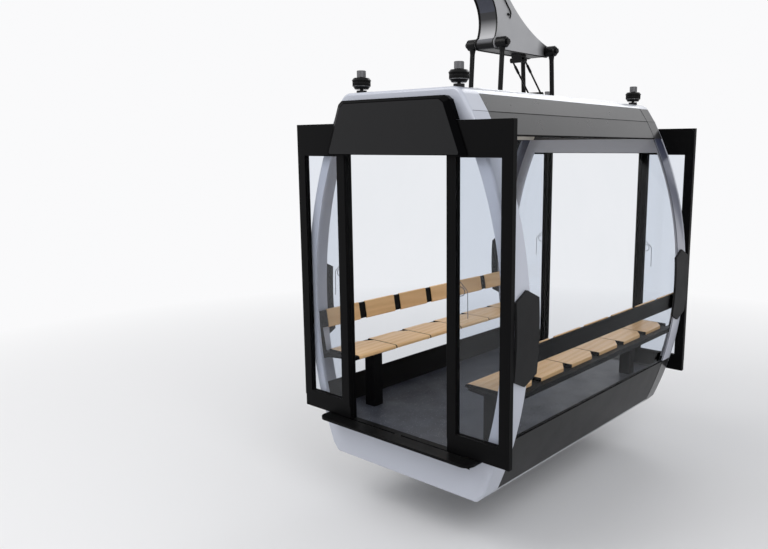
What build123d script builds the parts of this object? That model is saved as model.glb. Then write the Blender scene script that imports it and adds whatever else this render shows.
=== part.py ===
from build123d import *
import math
import os

# A cable car cabin for an aerial ropeway, hung from one rope by its grip.
# X runs along the rope, Y from one end doorway to the other, Z up.
# Heights are counted from a level just above the door sill, and the finished
# pieces are lowered by rope_height, so that the origin is the rope's centre.
# Sizes of the grip are counted from the rope. All are in millimetres.

# Rope and hang
rope_radius = 27.0
rope_height = 4750.0

# Body section, seen along Y
body_half_width = 987.0
flank_radius = 2900.0
flank_centre_z = 870.0
roof_z = 2415.0
roof_corner_inset = 457.0
shoulder_z = 2260.0
shoulder_fillet = 106.0
rim_z = -293.0
belly_z = -350.0
belly_corner_inset = 297.0
belly_fillet = 40.0
rim_thickness = 16.0

# Lengths along Y, from the middle
ring_face_y = 1370.0
ring_depth = 180.0
ring_plate = 25.0
ring_skin = 16.0
ring_face_width = 92.0
ring_edge_fillet = 22.0

# Side wall
glass_foot_z = 105.0
glass_top_z = 2110.0
roof_edge_z = 2375.0
glass_thickness = 8.0
glass_inset = 4.0
upper_panel_thickness = 20.0
lower_panel_thickness = 20.0
panel_inset = 2.0
roof_thickness = 30.0
roof_raise = 12.0
roof_raise_margin = 95.0
liner_inset = 30.0
liner_thickness = 8.0
ceiling_z = 2205.0
kick_wall_top_z = 104.0
left_kick_wall_top_z = 172.0

# Doorway and sliding leaves
leaf_foot_z = -14.0
sill_gap = 10.0
sill_thickness = 20.0
sill_half_width = 740.0
sill_front_y = 1520.0
sill_corner = 70.0
sill_gusset_gap = 20.0
sill_gusset_height = 80.0
sill_gusset_thickness = 10.0
sill_gusset_setback = 24.0
header_z = 1985.0
leaf_front_y = 1427.0
leaf_thickness = 47.0
leaf_width = 515.0
leaf_head_z = 2200.0
leaf_overhang = 7.0
leaf_closed_x = 4.0
leaf_stile = 80.0
leaf_top_rail = 228.0
leaf_bottom_rail = 140.0
leaf_kick_height = 94.0
leaf_kick_depth = 8.0
pane_thickness = 6.0
leaf_edge_fillet = 5.0
guide_pin_radius = 5.0
guide_pin_drop = 18.0
guide_pin_spacing = 80.0
guide_slot_clearance = 1.0
guide_end_clearance = 8.0
jamb_width = 26.0
jamb_setback = 11.0

# Door drive: each leaf hangs on blocks that run on its own rod
rod_radius = 5.0
rod_clearance = 0.05
lane_width = 18.0
arm_gap = 7.0
arm_thickness = 15.0
arm_overlap = 40.0
neck_step = 1.0
block_length = 40.0
block_height = 40.0
block_spread = 335.0
block_setback = 4.0
rod_end_gap = 5.0
rod_bracket_thickness = 10.0
rod_bracket_height = 26.0

# Header housing over each doorway
housing_back_y = 1436.0
housing_front_y = 1456.0
housing_foot_z = 1980.0
housing_top_z = 2357.0
housing_foot_inset = 330.0
housing_top_inset = 484.0
housing_bevel = 43.0
housing_top_bevel = 20.0
housing_wall = 8.0
housing_box_gap = 6.0
housing_box_inset = 20.0
housing_corner = 26.0
screen_inset = 5.0
screen_corner = 12.0
screen_thickness = 3.0

# Floor
deck_thickness = 20.0
deck_gap = 1.0
mat_thickness = 4.0
mat_gap = 2.0
beam_inset = 427.0
beam_width = 60.0
beam_height = 130.0
beam_wall = 8.0
rib_count = 5
rib_pitch = 560.0
rib_width = 50.0
rib_height = 80.0
outrigger_inset = 250.0
outrigger_toe = 24.0

# Benches: six seats on each long side
seats_per_bench = 6
bench_end_gap = 73.0
seat_gap = 14.0
seat_top_z = 440.0
seat_thickness = 26.0
seat_front_inset = 462.0
seat_rear_inset = 129.0
seat_clip_depth = 75.0
seat_clip_width = 110.0
seat_lip_fillet = 20.0
seat_strip_gap = 2.0
seat_strip_sink = 1.0
shelf_thickness = 6.0
shelf_margin = 20.0
bench_beam_outer_inset = 75.0
bench_beam_width = 50.0
bench_beam_height = 40.0
bench_arm_width = 30.0
bench_arm_setback = 30.0
bench_arm_tip_height = 14.0
leg_width = 94.0
leg_depth = 100.0
leg_y = 1047.0
leg_setback = 22.0
leg_rail_height = 14.0
back_plate_inset = 42.0
back_plate_thickness = 12.0
back_foot_z = 598.0
back_top_z = 745.0
back_lean = 9.5
back_pad_gap = 76.0
back_pad_thickness = 18.0
back_plate_margin = 6.0
back_strap_thickness = 11.0
back_pad_fillet = 12.0
upright_width = 24.0
upright_depth = 30.0

# Rub pads on the end rings
pad_stand_out = 20.0
pad_rear_y = 1110.0
pad_foot_z = 500.0
pad_top_z = 1140.0
pad_point = 62.0

# Guide rollers at the roof corners
roller_x = 451.0
roller_y = 1262.0
roller_radius = 69.0
roller_foot_radius = 48.0
roller_disc_radius = 37.0
roller_disc_height = 21.0
roller_gap = 8.0
roller_taper_height = 22.0
roller_body_radius = 63.0
roller_body_height = 36.0
roller_lip_height = 6.0
roller_crown_radius = 56.0
roller_crown_height = 16.0
roller_cap_radius = 33.0
roller_cap_height = 46.0
roller_pin_radius = 12.0
roller_cap_gap = 6.0
running_clearance = 0.05

# Posts and cross tubes that carry the cabin
post_x = 142.0
post_foot_y = 376.0
tube_y = 350.0
tube_z = 2820.0
tube_radius = 27.5
post_radius = 19.0
post_cap_radius = 42.0
post_cap_chamfer = 10.0
post_cap_inner_x = 102.0
post_cap_outer_x = 186.0
post_socket_radius = 31.0
post_socket_length = 72.0
post_foot_plate = 90.0
post_foot_thickness = 10.0
post_nut_radius = 22.0
post_nut_length = 16.0

# Stay rods between the arm and the roof
stay_x = 60.0
stay_radius = 7.5
stay_sleeve_radius = 11.0
stay_sleeve_from = 60.0
stay_sleeve_to = 130.0
stay_eye_radius = 20.0
stay_eye_width = 24.0
stay_pin_radius = 8.0
stay_pin_end = 6.0
stay_head_y = 75.0
stay_head_drop = 37.0
stay_foot_y = 335.0
stay_foot_rise = 48.0
stay_lug_width = 42.0
stay_plate_thickness = 12.0
stay_bracket_reach = 92.0

# Hanger arm, a box bent round the rope's side
arm_half_width = 90.0
arm_plate = 8.0
arm_web = 8.0
arm_web_inset = 6.0
arm_boss_radius = 48.0
arm_bend_y = -650.0
arm_bend_width = 150.0
neck_front_y = -402.0
neck_front_rise = 310.0
neck_rear_y = -181.0
neck_rear_rise = 334.0
neck_foot_overhang = 16.0
head_shoulder_drop = 160.0
hollow_below_pivot = 250.0
eye_inner_y = -180.0
eye_outer_y = -245.0
eye_radius = 75.0
eye_taper = 70.0
pivot_below_rope = 30.0
pivot_radius = 25.0
pivot_root_radius = 42.0
pivot_nut_radius = 42.0
pivot_nut_length = 22.0
spot_face_depth = 120.0

# Grip
casting_inner_y = -46.0
casting_outer_y = -118.0
casting_half_length = 64.0
casting_foot_z = -78.0
casting_top_z = 84.0
casting_step = 26.0
jaw_radius = 50.0
fixed_jaw_half_length = 110.0
fixed_jaw_from = 100.0
fixed_jaw_to = 215.0
moving_jaw_from = -35.0
moving_jaw_to = 80.0
shaft_z = 95.0
shaft_radius = 18.0
hub_radius = 34.0
lug_inner_x = 70.0
lug_outer_x = 100.0
lug_foot_z = 30.0
jaw_neck_inner_y = 10.0
side_gap = 6.0
pot_x = 118.0
pot_y = -80.0
pot_radius = 34.0
pot_foot_z = -92.0
pot_top_z = 104.0
pot_cap_radius = 26.0
pot_cap_height = 14.0
pot_rib_count = 3
pot_rib_pitch = 48.0
pot_rib_height = 14.0
pot_rib_stand_out = 4.0
tie_web = 18.0
lever_tip_y = -150.0
lever_tip_rise = 155.0
lever_half_width = 20.0
lever_root_depth = 52.0
lever_tip_depth = 30.0
lever_pocket_depth = 8.0
lever_pocket_margin = 10.0
lever_pocket_from = 0.3
lever_pocket_to = 0.8
lever_tip_radius = 22.0
lever_roller_radius = 45.0
lever_roller_width = 36.0
stub_radius = 12.0
stub_cap_radius = 19.0
wheel_x = 190.0
wheel_z = 125.0
wheel_radius = 90.0
wheel_width = 40.0
wheel_axle_radius = 15.0
wheel_hub_radius = 30.0
wheel_boss_radius = 24.0
wheel_arm_inner_y = -62.0
wheel_arm_outer_y = -106.0
wheel_arm_foot_z = 30.0
wheel_hub_wall = 14.0
wheel_rim_depth = 16.0
wheel_inner_y = -136.0
collar_height = 10.0
drive_plate_z = 178.0
drive_plate_thickness = 10.0
drive_plate_half_length = 190.0
drive_plate_ramp = 60.0
drive_plate_ramp_drop = 16.0
drive_plate_inner_y = 46.0
drive_plate_outer_y = -22.0
drive_rib_height = 14.0
drive_rib_thickness = 8.0
drive_post_radius = 13.0

# Values that follow from the sizes above
roof_corner_x = body_half_width - roof_corner_inset
belly_corner_x = body_half_width - belly_corner_inset
ring_inner_y = ring_face_y - ring_depth
plate_inner_y = ring_face_y - ring_plate
leaf_open_x = body_half_width + leaf_overhang - leaf_width
leaf_travel = leaf_open_x - leaf_closed_x
leaf_back_y = leaf_front_y - leaf_thickness
leaf_mid_y = leaf_front_y - leaf_thickness / 2
jamb_inner_x = leaf_open_x + jamb_setback
arm_foot_z = leaf_head_z + arm_gap
rod_z_height = arm_foot_z + arm_thickness + block_height / 2
block_outer_x = leaf_open_x - block_setback
rod_bracket_x = block_outer_x + rod_end_gap + rod_bracket_thickness / 2
housing_foot_half = body_half_width - housing_foot_inset
housing_box_foot_z = leaf_head_z + housing_box_gap
housing_top_half = body_half_width - housing_top_inset
sill_z = leaf_foot_z - sill_gap
sill_foot_z = sill_z - sill_thickness
deck_top_z = sill_z - mat_thickness
deck_foot_z = deck_top_z - deck_thickness
beam_x = body_half_width - beam_inset
seat_front_x = body_half_width - seat_front_inset
seat_rear_x = body_half_width - seat_rear_inset
seat_foot_z = seat_top_z - seat_thickness
bench_beam_x = body_half_width - bench_beam_outer_inset
bench_half_length = plate_inner_y - bench_end_gap
seat_pitch = 2 * bench_half_length / seats_per_bench
back_front_x = body_half_width - back_plate_inset
back_rear_x = back_front_x + back_plate_thickness
roller_body_foot = roof_z + roller_disc_height + roller_gap
roller_lip_foot = roller_body_foot + roller_taper_height + roller_body_height
roller_top = roller_lip_foot + roller_lip_height + roller_crown_height
post_foot_z = roof_z + roof_raise
pivot_z = rope_height - pivot_below_rope
arm_under_z = tube_z - arm_boss_radius
stay_head_z = arm_under_z - stay_head_drop
stay_foot_z = post_foot_z + stay_foot_rise
side_signs = (-1, 1)
far = 4000.0


def prism_y(sketch, y_from, y_to):
    # A front-view sketch, x across and y up, pushed along Y.
    return extrude(Plane.XZ.offset(-y_from) * sketch, y_to - y_from, dir=(0, 1, 0))


def prism_x(sketch, x_from, x_to):
    # A side-view sketch, x along Y and y up, pushed along X.
    return extrude(Plane.YZ.offset(x_from) * sketch, x_to - x_from, dir=(1, 0, 0))


def block(x_from, x_to, y_from, y_to, z_from, z_to):
    middle = Pos((x_from + x_to) / 2, (y_from + y_to) / 2, (z_from + z_to) / 2)
    return middle * Box(abs(x_to - x_from), abs(y_to - y_from), abs(z_to - z_from))


def area(x_from, x_to, y_from, y_to):
    middle = Pos((x_from + x_to) / 2, (y_from + y_to) / 2)
    return middle * Rectangle(abs(x_to - x_from), abs(y_to - y_from))


def rod_x(x_from, x_to, y, z, radius):
    return Pos((x_from + x_to) / 2, y, z) * Rot(0, 90, 0) * Cylinder(radius, abs(x_to - x_from))


def rod_y(y_from, y_to, x, z, radius):
    return Pos(x, (y_from + y_to) / 2, z) * Rot(90, 0, 0) * Cylinder(radius, abs(y_to - y_from))


def rod_z(z_from, z_to, x, y, radius):
    return Pos(x, y, (z_from + z_to) / 2) * Cylinder(radius, abs(z_to - z_from))


def to_rear(piece):
    # The rear end is the front end turned half round.
    return Rot(0, 0, 180) * piece


def to_left(piece):
    return mirror(piece, about=Plane.YZ)


def together(pieces):
    # One node of separate solids.
    return Part() + list(pieces)


def flank_x(z, inset=0.0):
    # Half width of the body at a height on the big flank arc.
    radius = flank_radius - inset
    rise = z - flank_centre_z
    return body_half_width - flank_radius + math.sqrt(radius * radius - rise * rise)


def body_section(inset=0.0):
    # The whole outside of the body seen along Y, or the same shape set in.
    right = [
        (0, roof_z), (roof_corner_x, roof_z), (flank_x(shoulder_z), shoulder_z),
        (flank_x(rim_z), rim_z), (belly_corner_x, belly_z), (0, belly_z),
    ]
    edges = [
        Line(right[0], right[1]),
        Line(right[1], right[2]),
        ThreePointArc(right[2], (body_half_width, flank_centre_z), right[3]),
        Line(right[3], right[4]),
        Line(right[4], right[5]),
    ]
    half = make_face(edges + [Line(right[5], right[0])])
    face = half + mirror(half, about=Plane.YZ)
    tops = face.vertices().filter_by(lambda v: abs(abs(v.X) - roof_corner_x) < 1 and v.Y > shoulder_z)
    face = fillet(tops, shoulder_fillet)
    feet = face.vertices().filter_by(lambda v: abs(v.Y - belly_z) < 1 and abs(v.X) > 1)
    face = fillet(feet, belly_fillet)
    if inset:
        face = offset(face, amount=-inset)
    return face


def shell_section(outer_inset, inner_inset):
    return body_section(outer_inset) - body_section(inner_inset)


def right_side(sketch, z_from, z_to):
    return sketch & area(1, far, z_from, z_to)


def doorway_section():
    # The opening in the end ring's face plate.
    return body_section(ring_face_width) & area(-far, far, sill_foot_z, header_z)


def end_ring():
    plate = prism_y(body_section() - doorway_section(), -ring_face_y, -plate_inner_y)
    skin = prism_y(shell_section(0, ring_skin), -plate_inner_y, -ring_inner_y)
    ring = plate + skin
    front = ring.edges().filter_by(lambda e: abs(e.center().Y + ring_face_y) < 0.5)
    outer = [e for e in front if is_outer_edge(e)]
    return fillet(outer, ring_edge_fillet)


def is_outer_edge(edge):
    # True where the middle of an edge lies on the outside of the body.
    point = edge @ 0.5
    if point.Z > shoulder_z or point.Z < rim_z + 1:
        return True
    return abs(point.X) > flank_x(point.Z) - ring_edge_fillet


def roof():
    section = shell_section(0, roof_thickness) & area(-far, far, roof_edge_z, far)
    shell = prism_y(section, -ring_inner_y, ring_inner_y)
    half_x = roof_corner_x - roof_raise_margin
    half_y = ring_inner_y - roof_raise_margin
    outline = RectangleRounded(2 * half_x, 2 * half_y, roof_raise_margin)
    raised = extrude(Pos(0, 0, roof_z) * outline, roof_raise, taper=45)
    return shell + raised


def upper_side_panel():
    shell = shell_section(panel_inset, panel_inset + upper_panel_thickness)
    section = right_side(shell, glass_top_z, roof_edge_z)
    return prism_y(section, -ring_inner_y, ring_inner_y)


def side_glass():
    section = right_side(shell_section(glass_inset, glass_inset + glass_thickness), glass_foot_z, glass_top_z)
    return prism_y(section, -ring_inner_y, ring_inner_y)


def lower_side_panel():
    section = right_side(shell_section(panel_inset, panel_inset + lower_panel_thickness), rim_z, glass_foot_z)
    return prism_y(section, -ring_inner_y, ring_inner_y)


def bottom_rim():
    inner_x = belly_corner_x - ring_face_width
    section = shell_section(0, rim_thickness) & area(inner_x, far, belly_z - 1, rim_z)
    return prism_y(section, -ring_inner_y, ring_inner_y)


def ceiling_liner():
    inner = liner_inset + liner_thickness
    sides = shell_section(liner_inset, inner) & area(-far, far, glass_top_z, ceiling_z + liner_thickness)
    sheet = body_section(liner_inset) & area(-far, far, ceiling_z, ceiling_z + liner_thickness)
    return prism_y(sides + sheet, -plate_inner_y, plate_inner_y)


def kick_wall(top_z):
    section = right_side(shell_section(liner_inset, liner_inset + liner_thickness), deck_top_z, top_z)
    return prism_y(section, -plate_inner_y, plate_inner_y)


def floor_pan():
    inset = panel_inset + lower_panel_thickness + deck_gap
    section = body_section(inset) & area(-far, far, deck_foot_z, deck_top_z)
    return prism_y(section, -plate_inner_y, plate_inner_y)


def floor_beam():
    # A channel under the deck, its web to the middle of the cabin.
    inner_x = beam_x - beam_width / 2
    outer_x = beam_x + beam_width / 2
    foot_z = deck_foot_z - beam_height
    section = area(inner_x, outer_x, foot_z, deck_foot_z)
    section -= area(inner_x + beam_wall, outer_x + 1, foot_z + beam_wall, deck_foot_z - beam_wall)
    return prism_y(section, -plate_inner_y, plate_inner_y)


def floor_ribs():
    # Cross ribs between the two channels, and brackets from them out to the side walls.
    web_x = beam_x - beam_width / 2
    flange_x = beam_x + beam_width / 2
    toe_x = body_half_width - outrigger_inset
    foot_z = deck_foot_z - rib_height
    root_x = web_x + beam_wall
    under_flange_z = deck_foot_z - beam_wall
    corners = [(root_x, under_flange_z), (flange_x, under_flange_z), (flange_x, deck_foot_z),
               (toe_x, deck_foot_z), (toe_x, deck_foot_z - outrigger_toe),
               (flange_x, foot_z), (root_x, foot_z)]
    bracket = make_face(Polyline(*corners, close=True))
    ribs = []
    for number in range(rib_count):
        y_mid = (number - (rib_count - 1) / 2) * rib_pitch
        y_from = y_mid - rib_width / 2
        y_to = y_mid + rib_width / 2
        ribs.append(block(-web_x, web_x, y_from, y_to, foot_z, deck_foot_z))
        right = prism_y(bracket, y_from, y_to)
        ribs += [right, to_left(right)]
    return together(ribs)


def floor_mat():
    section = body_section(liner_inset + liner_thickness) & area(-far, far, deck_top_z, sill_z)
    mat = prism_y(section, -plate_inner_y, plate_inner_y)
    for y_sign in side_signs:
        hole = leg_block(y_sign, mat_gap)
        mat -= hole
        mat -= to_left(hole)
    return mat


def sill():
    outline = area(-sill_half_width, sill_half_width, -sill_front_y, -plate_inner_y)
    corners = outline.vertices().sort_by(Axis.Y)[:2]
    plate = extrude(Pos(0, 0, sill_foot_z) * fillet(corners, sill_corner), sill_thickness)
    slot_width = 2 * (guide_pin_radius + guide_slot_clearance)
    first_pin, second_pin = guide_pin_places()
    slot_from = first_pin - leaf_travel - guide_pin_radius - guide_end_clearance
    slot_to = second_pin + guide_pin_radius + guide_end_clearance
    for sign in side_signs:
        slot_middle = Pos(sign * (slot_from + slot_to) / 2, -leaf_mid_y, sill_foot_z)
        plate -= extrude(slot_middle * SlotOverall(slot_to - slot_from, slot_width), sill_thickness)
    gusset_tip_y = -sill_front_y + sill_gusset_setback
    gusset = make_face(Polyline((-ring_face_y, sill_foot_z), (gusset_tip_y, sill_foot_z),
                                (-ring_face_y, sill_foot_z - sill_gusset_height), close=True))
    gusset_x = slot_to + sill_gusset_gap
    for x_mid in (-gusset_x, 0, gusset_x):
        plate += prism_x(gusset, x_mid - sill_gusset_thickness / 2, x_mid + sill_gusset_thickness / 2)
    return plate


def jamb():
    return block(jamb_inner_x, jamb_inner_x + jamb_width, -ring_face_y, -plate_inner_y, sill_z, header_z)


def end_pane():
    section = doorway_section() & area(jamb_inner_x + jamb_width, far, sill_z, far)
    y_mid = -(ring_face_y + plate_inner_y) / 2
    return prism_y(section, y_mid - pane_thickness / 2, y_mid + pane_thickness / 2)


def housing_outline(foot_z, half_foot, top_z, half_top, corner):
    # A flat view of the housing, narrower to the top, with its two upper corners cut.
    lean = (half_foot - half_top) / (top_z - foot_z)
    right = [(half_foot, foot_z), (half_top + corner * lean, top_z - corner), (half_top - corner, top_z)]
    left = [(-x, z) for x, z in reversed(right)]
    return make_face(Polyline(*right, *left, close=True))


def housing_half(z):
    share = (z - housing_foot_z) / (housing_top_z - housing_foot_z)
    return housing_foot_half + (housing_top_half - housing_foot_half) * share


def header_housing():
    back = housing_outline(housing_foot_z, housing_foot_half, housing_top_z, housing_top_half, housing_corner)
    face_top_z = housing_top_z - housing_top_bevel
    front = housing_outline(housing_foot_z, housing_foot_half - housing_bevel,
                            face_top_z, housing_half(face_top_z) - housing_bevel, housing_corner)
    faces = [Plane.XZ.offset(housing_back_y) * back, Plane.XZ.offset(housing_front_y) * front]
    cover = loft(faces, ruled=True)
    outer = housing_outline(housing_box_foot_z, housing_half(housing_box_foot_z) - housing_box_inset,
                            housing_top_z, housing_top_half - housing_box_inset, housing_corner)
    inner_top_z = housing_top_z - housing_wall
    inner_margin = housing_box_inset + housing_wall
    inner = housing_outline(housing_box_foot_z, housing_half(housing_box_foot_z) - inner_margin,
                            inner_top_z, housing_half(inner_top_z) - inner_margin, housing_corner)
    return cover + prism_y(outer - inner, -housing_back_y, -ring_face_y)


def header_screen():
    top_z = housing_top_z - housing_top_bevel - screen_inset
    foot_z = housing_foot_z + screen_inset
    margin = housing_bevel + screen_inset
    half_foot = housing_half(foot_z) - margin
    half_top = housing_half(top_z) - margin
    outline = housing_outline(foot_z, half_foot, top_z, half_top, housing_corner)
    feet = outline.vertices().group_by(Axis.Y)[0]
    return prism_y(fillet(feet, screen_corner), -housing_front_y - screen_thickness, -housing_front_y)


def lane(number):
    # Middle of one of the two lanes in the housing, 0 in front and 1 behind.
    return -(leaf_front_y - lane_width / 2) if number == 0 else -(leaf_back_y + lane_width / 2)


def guide_pin_places():
    # X of the two pins under a leaf, one in its stile and one past it.
    first = leaf_open_x + leaf_stile / 2
    return first, first + guide_pin_spacing


def door_rods():
    brackets = []
    for sign in side_signs:
        x_mid = sign * rod_bracket_x
        half = rod_bracket_thickness / 2
        bracket = block(x_mid - half, x_mid + half, -leaf_front_y, -ring_face_y,
                        rod_z_height - rod_bracket_height / 2, rod_z_height + rod_bracket_height / 2)
        brackets.append(bracket)
    rods = [rod_x(-rod_bracket_x, rod_bracket_x, lane(number), rod_z_height, rod_radius) for number in (0, 1)]
    return together(brackets + rods)


def leaf_frame(lane_number):
    x_from = leaf_open_x
    x_to = leaf_open_x + leaf_width
    frame = block(x_from, x_to, -leaf_front_y, -leaf_back_y, leaf_foot_z, leaf_head_z)
    frame = fillet(frame.edges().filter_by(Axis.Z), leaf_edge_fillet)
    frame -= block(x_from + leaf_stile, x_to - leaf_stile, -leaf_front_y, -leaf_back_y,
                   leaf_foot_z + leaf_bottom_rail, leaf_head_z - leaf_top_rail)
    frame -= block(x_from, x_to, -leaf_front_y, -leaf_front_y + leaf_kick_depth,
                   leaf_foot_z, leaf_foot_z + leaf_kick_height)
    y_mid = lane(lane_number)
    arm_top = arm_foot_z + arm_thickness
    arm_outer_x = leaf_open_x + arm_overlap
    outer_block = block_outer_x - block_length
    inner_block = outer_block - block_spread
    lane_half = lane_width / 2
    frame += block(inner_block, arm_outer_x, y_mid - lane_half, y_mid + lane_half, arm_foot_z, arm_top)
    neck_half = lane_half - neck_step
    frame += block(x_from + leaf_edge_fillet, arm_outer_x, y_mid - neck_half, y_mid + neck_half,
                   leaf_head_z, arm_foot_z)
    for block_x in (inner_block, outer_block):
        carriage = block(block_x, block_x + block_length, y_mid - lane_half, y_mid + lane_half,
                         arm_top, arm_top + block_height)
        frame += carriage - rod_x(block_x - 1, block_x + block_length + 1, y_mid, rod_z_height,
                                  rod_radius + rod_clearance)
    for pin_x in guide_pin_places():
        frame += rod_z(leaf_foot_z - guide_pin_drop, leaf_foot_z + leaf_edge_fillet,
                       pin_x, -leaf_mid_y, guide_pin_radius)
    return frame


def leaf_glass():
    return block(leaf_open_x + leaf_stile, leaf_open_x + leaf_width - leaf_stile,
                 -leaf_mid_y - pane_thickness / 2, -leaf_mid_y + pane_thickness / 2,
                 leaf_foot_z + leaf_bottom_rail, leaf_head_z - leaf_top_rail)


def seat_places():
    return [(number - (seats_per_bench - 1) / 2) * seat_pitch for number in range(seats_per_bench)]


def seat_profile(sink):
    # Side view of a seat along its depth, its front edge rounded over, or the same set down a little.
    section = area(seat_front_x, seat_rear_x, seat_foot_z, seat_top_z - sink)
    lip = section.vertices().group_by(Axis.X)[0].sort_by(Axis.Y)[-1]
    return fillet(lip, seat_lip_fillet)


def seat_pad(y_mid):
    half = (seat_pitch - seat_gap) / 2
    pad = prism_y(seat_profile(0), y_mid - half, y_mid + half)
    clip = Polyline((seat_rear_x, y_mid + half - seat_clip_width), (seat_rear_x, y_mid + half),
                    (seat_rear_x - seat_clip_depth, y_mid + half), close=True)
    return pad - extrude(Pos(0, 0, seat_foot_z) * make_face(clip), seat_thickness)


def leaned(sketch):
    # The backrest's section turned about its top rear edge, so that it leans away from the sitter.
    return Pos(back_rear_x, back_top_z) * Rot(0, 0, -back_lean) * Pos(-back_rear_x, -back_top_z) * sketch


def leaned_point(x, z):
    turn = math.radians(-back_lean)
    across = x - back_rear_x
    rise = z - back_top_z
    return (back_rear_x + across * math.cos(turn) - rise * math.sin(turn),
            back_top_z + across * math.sin(turn) + rise * math.cos(turn))


def back_pad(y_mid):
    half = (seat_pitch - back_pad_gap) / 2
    section = area(back_front_x - back_pad_thickness, back_front_x, back_foot_z, back_top_z)
    front_corners = section.vertices().group_by(Axis.X)[0]
    return prism_y(leaned(fillet(front_corners, back_pad_fillet)), y_mid - half, y_mid + half)


def leg_block(y_sign, margin):
    # The box leg near a bench end, or the same box grown sideways by a margin.
    x_from = seat_front_x + leg_setback
    return block(x_from - margin, x_from + leg_depth + margin, y_sign * leg_y - leg_width / 2 - margin,
                 y_sign * leg_y + leg_width / 2 + margin, deck_top_z, seat_foot_z - leg_rail_height)


def bench_frame():
    beam_inner_x = bench_beam_x - bench_beam_width
    beam_foot_z = seat_foot_z - bench_beam_height
    tip_x = seat_front_x + bench_arm_setback
    frame = block(beam_inner_x, bench_beam_x, -plate_inner_y, plate_inner_y, beam_foot_z, seat_foot_z)
    shelf_x = seat_rear_x - seat_clip_depth - shelf_margin
    frame += block(shelf_x, beam_inner_x, -bench_half_length, bench_half_length,
                   seat_foot_z - shelf_thickness, seat_foot_z)
    arm = make_face(Polyline((tip_x, seat_foot_z), (beam_inner_x, seat_foot_z), (beam_inner_x, beam_foot_z),
                             (tip_x, seat_foot_z - bench_arm_tip_height), close=True))
    strip = seat_profile(seat_strip_sink)
    strip_half = seat_gap / 2 - seat_strip_gap
    plate_foot_z = back_foot_z + back_plate_margin
    plate_top_z = back_top_z - back_plate_margin
    strap = area(back_front_x - back_strap_thickness, back_front_x, plate_foot_z, plate_top_z)
    strap = leaned(chamfer(strap.vertices().group_by(Axis.X)[0], back_plate_margin))
    for number in range(seats_per_bench + 1):
        y_mid = number * seat_pitch - bench_half_length
        frame += prism_y(arm, y_mid - bench_arm_width / 2, y_mid + bench_arm_width / 2)
        frame += prism_y(strip, y_mid - strip_half, y_mid + strip_half)
        frame += prism_y(strap, y_mid - back_pad_gap / 2, y_mid + back_pad_gap / 2)
    plate_end = bench_half_length + back_pad_gap / 2
    plate = leaned(area(back_front_x, back_rear_x, plate_foot_z, plate_top_z))
    frame += prism_y(plate, -plate_end, plate_end)
    upright_x = bench_beam_x - upright_depth
    corners = [(upright_x, beam_foot_z), (bench_beam_x, beam_foot_z), leaned_point(back_rear_x, plate_foot_z),
               leaned_point(back_front_x, plate_foot_z), (upright_x, seat_foot_z)]
    upright = make_face(Polyline(*corners, close=True)) + plate
    for y_sign in side_signs:
        frame += prism_y(upright, *sorted((y_sign * plate_end, y_sign * (plate_end - upright_width))))
        frame += leg_block(y_sign, 0)
        rail_ends = sorted((y_sign * bench_half_length, y_sign * (bench_half_length - seat_pitch)))
        rail_end_x = seat_front_x + leg_setback + leg_depth
        frame += block(tip_x, rail_end_x, *rail_ends, seat_foot_z - leg_rail_height, seat_foot_z)
    return frame


def rub_pad():
    y_mid = (ring_face_y + pad_rear_y) / 2
    outline = Polyline((-ring_face_y, pad_foot_z + pad_point), (-y_mid, pad_foot_z),
                       (-pad_rear_y, pad_foot_z + pad_point), (-pad_rear_y, pad_top_z - pad_point),
                       (-y_mid, pad_top_z), (-ring_face_y, pad_top_z - pad_point), close=True)
    band = offset(body_section(), amount=pad_stand_out) - body_section()
    shell = prism_y(band & area(0, far, pad_foot_z - 1, pad_top_z + 1), -ring_face_y, -pad_rear_y)
    return shell & prism_x(make_face(outline), 0, far)


def roller_axle():
    disc = rod_z(roof_z, roof_z + roller_disc_height, roller_x, -roller_y, roller_disc_radius)
    cap_foot = roller_top + roller_cap_gap
    pin = rod_z(roof_z, cap_foot, roller_x, -roller_y, roller_pin_radius)
    cap = rod_z(cap_foot, cap_foot + roller_cap_height, roller_x, -roller_y, roller_cap_radius)
    cap = chamfer(cap.edges().sort_by(Axis.Z)[-1], roller_cap_gap / 2)
    return disc + pin + cap


def guide_roller():
    # A tapered foot, a straight body, a thin lip at the widest place and a crown that narrows to the top.
    shoulder = roller_body_foot + roller_taper_height
    lip_top = roller_lip_foot + roller_lip_height
    inner = roller_pin_radius + running_clearance
    outline = Polyline((inner, roller_body_foot), (roller_foot_radius, roller_body_foot),
                       (roller_body_radius, shoulder), (roller_body_radius, roller_lip_foot),
                       (roller_radius, roller_lip_foot), (roller_radius, lip_top),
                       (roller_crown_radius, roller_top), (inner, roller_top), close=True)
    turned = revolve(Plane.XZ * make_face(outline), Axis.Z)
    return Pos(roller_x, -roller_y, 0) * turned


def corner_copies(piece):
    # Copies of a front right piece at all four corners of the body.
    front_left = to_left(piece)
    return [piece, front_left, to_rear(piece), to_rear(front_left)]


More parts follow.
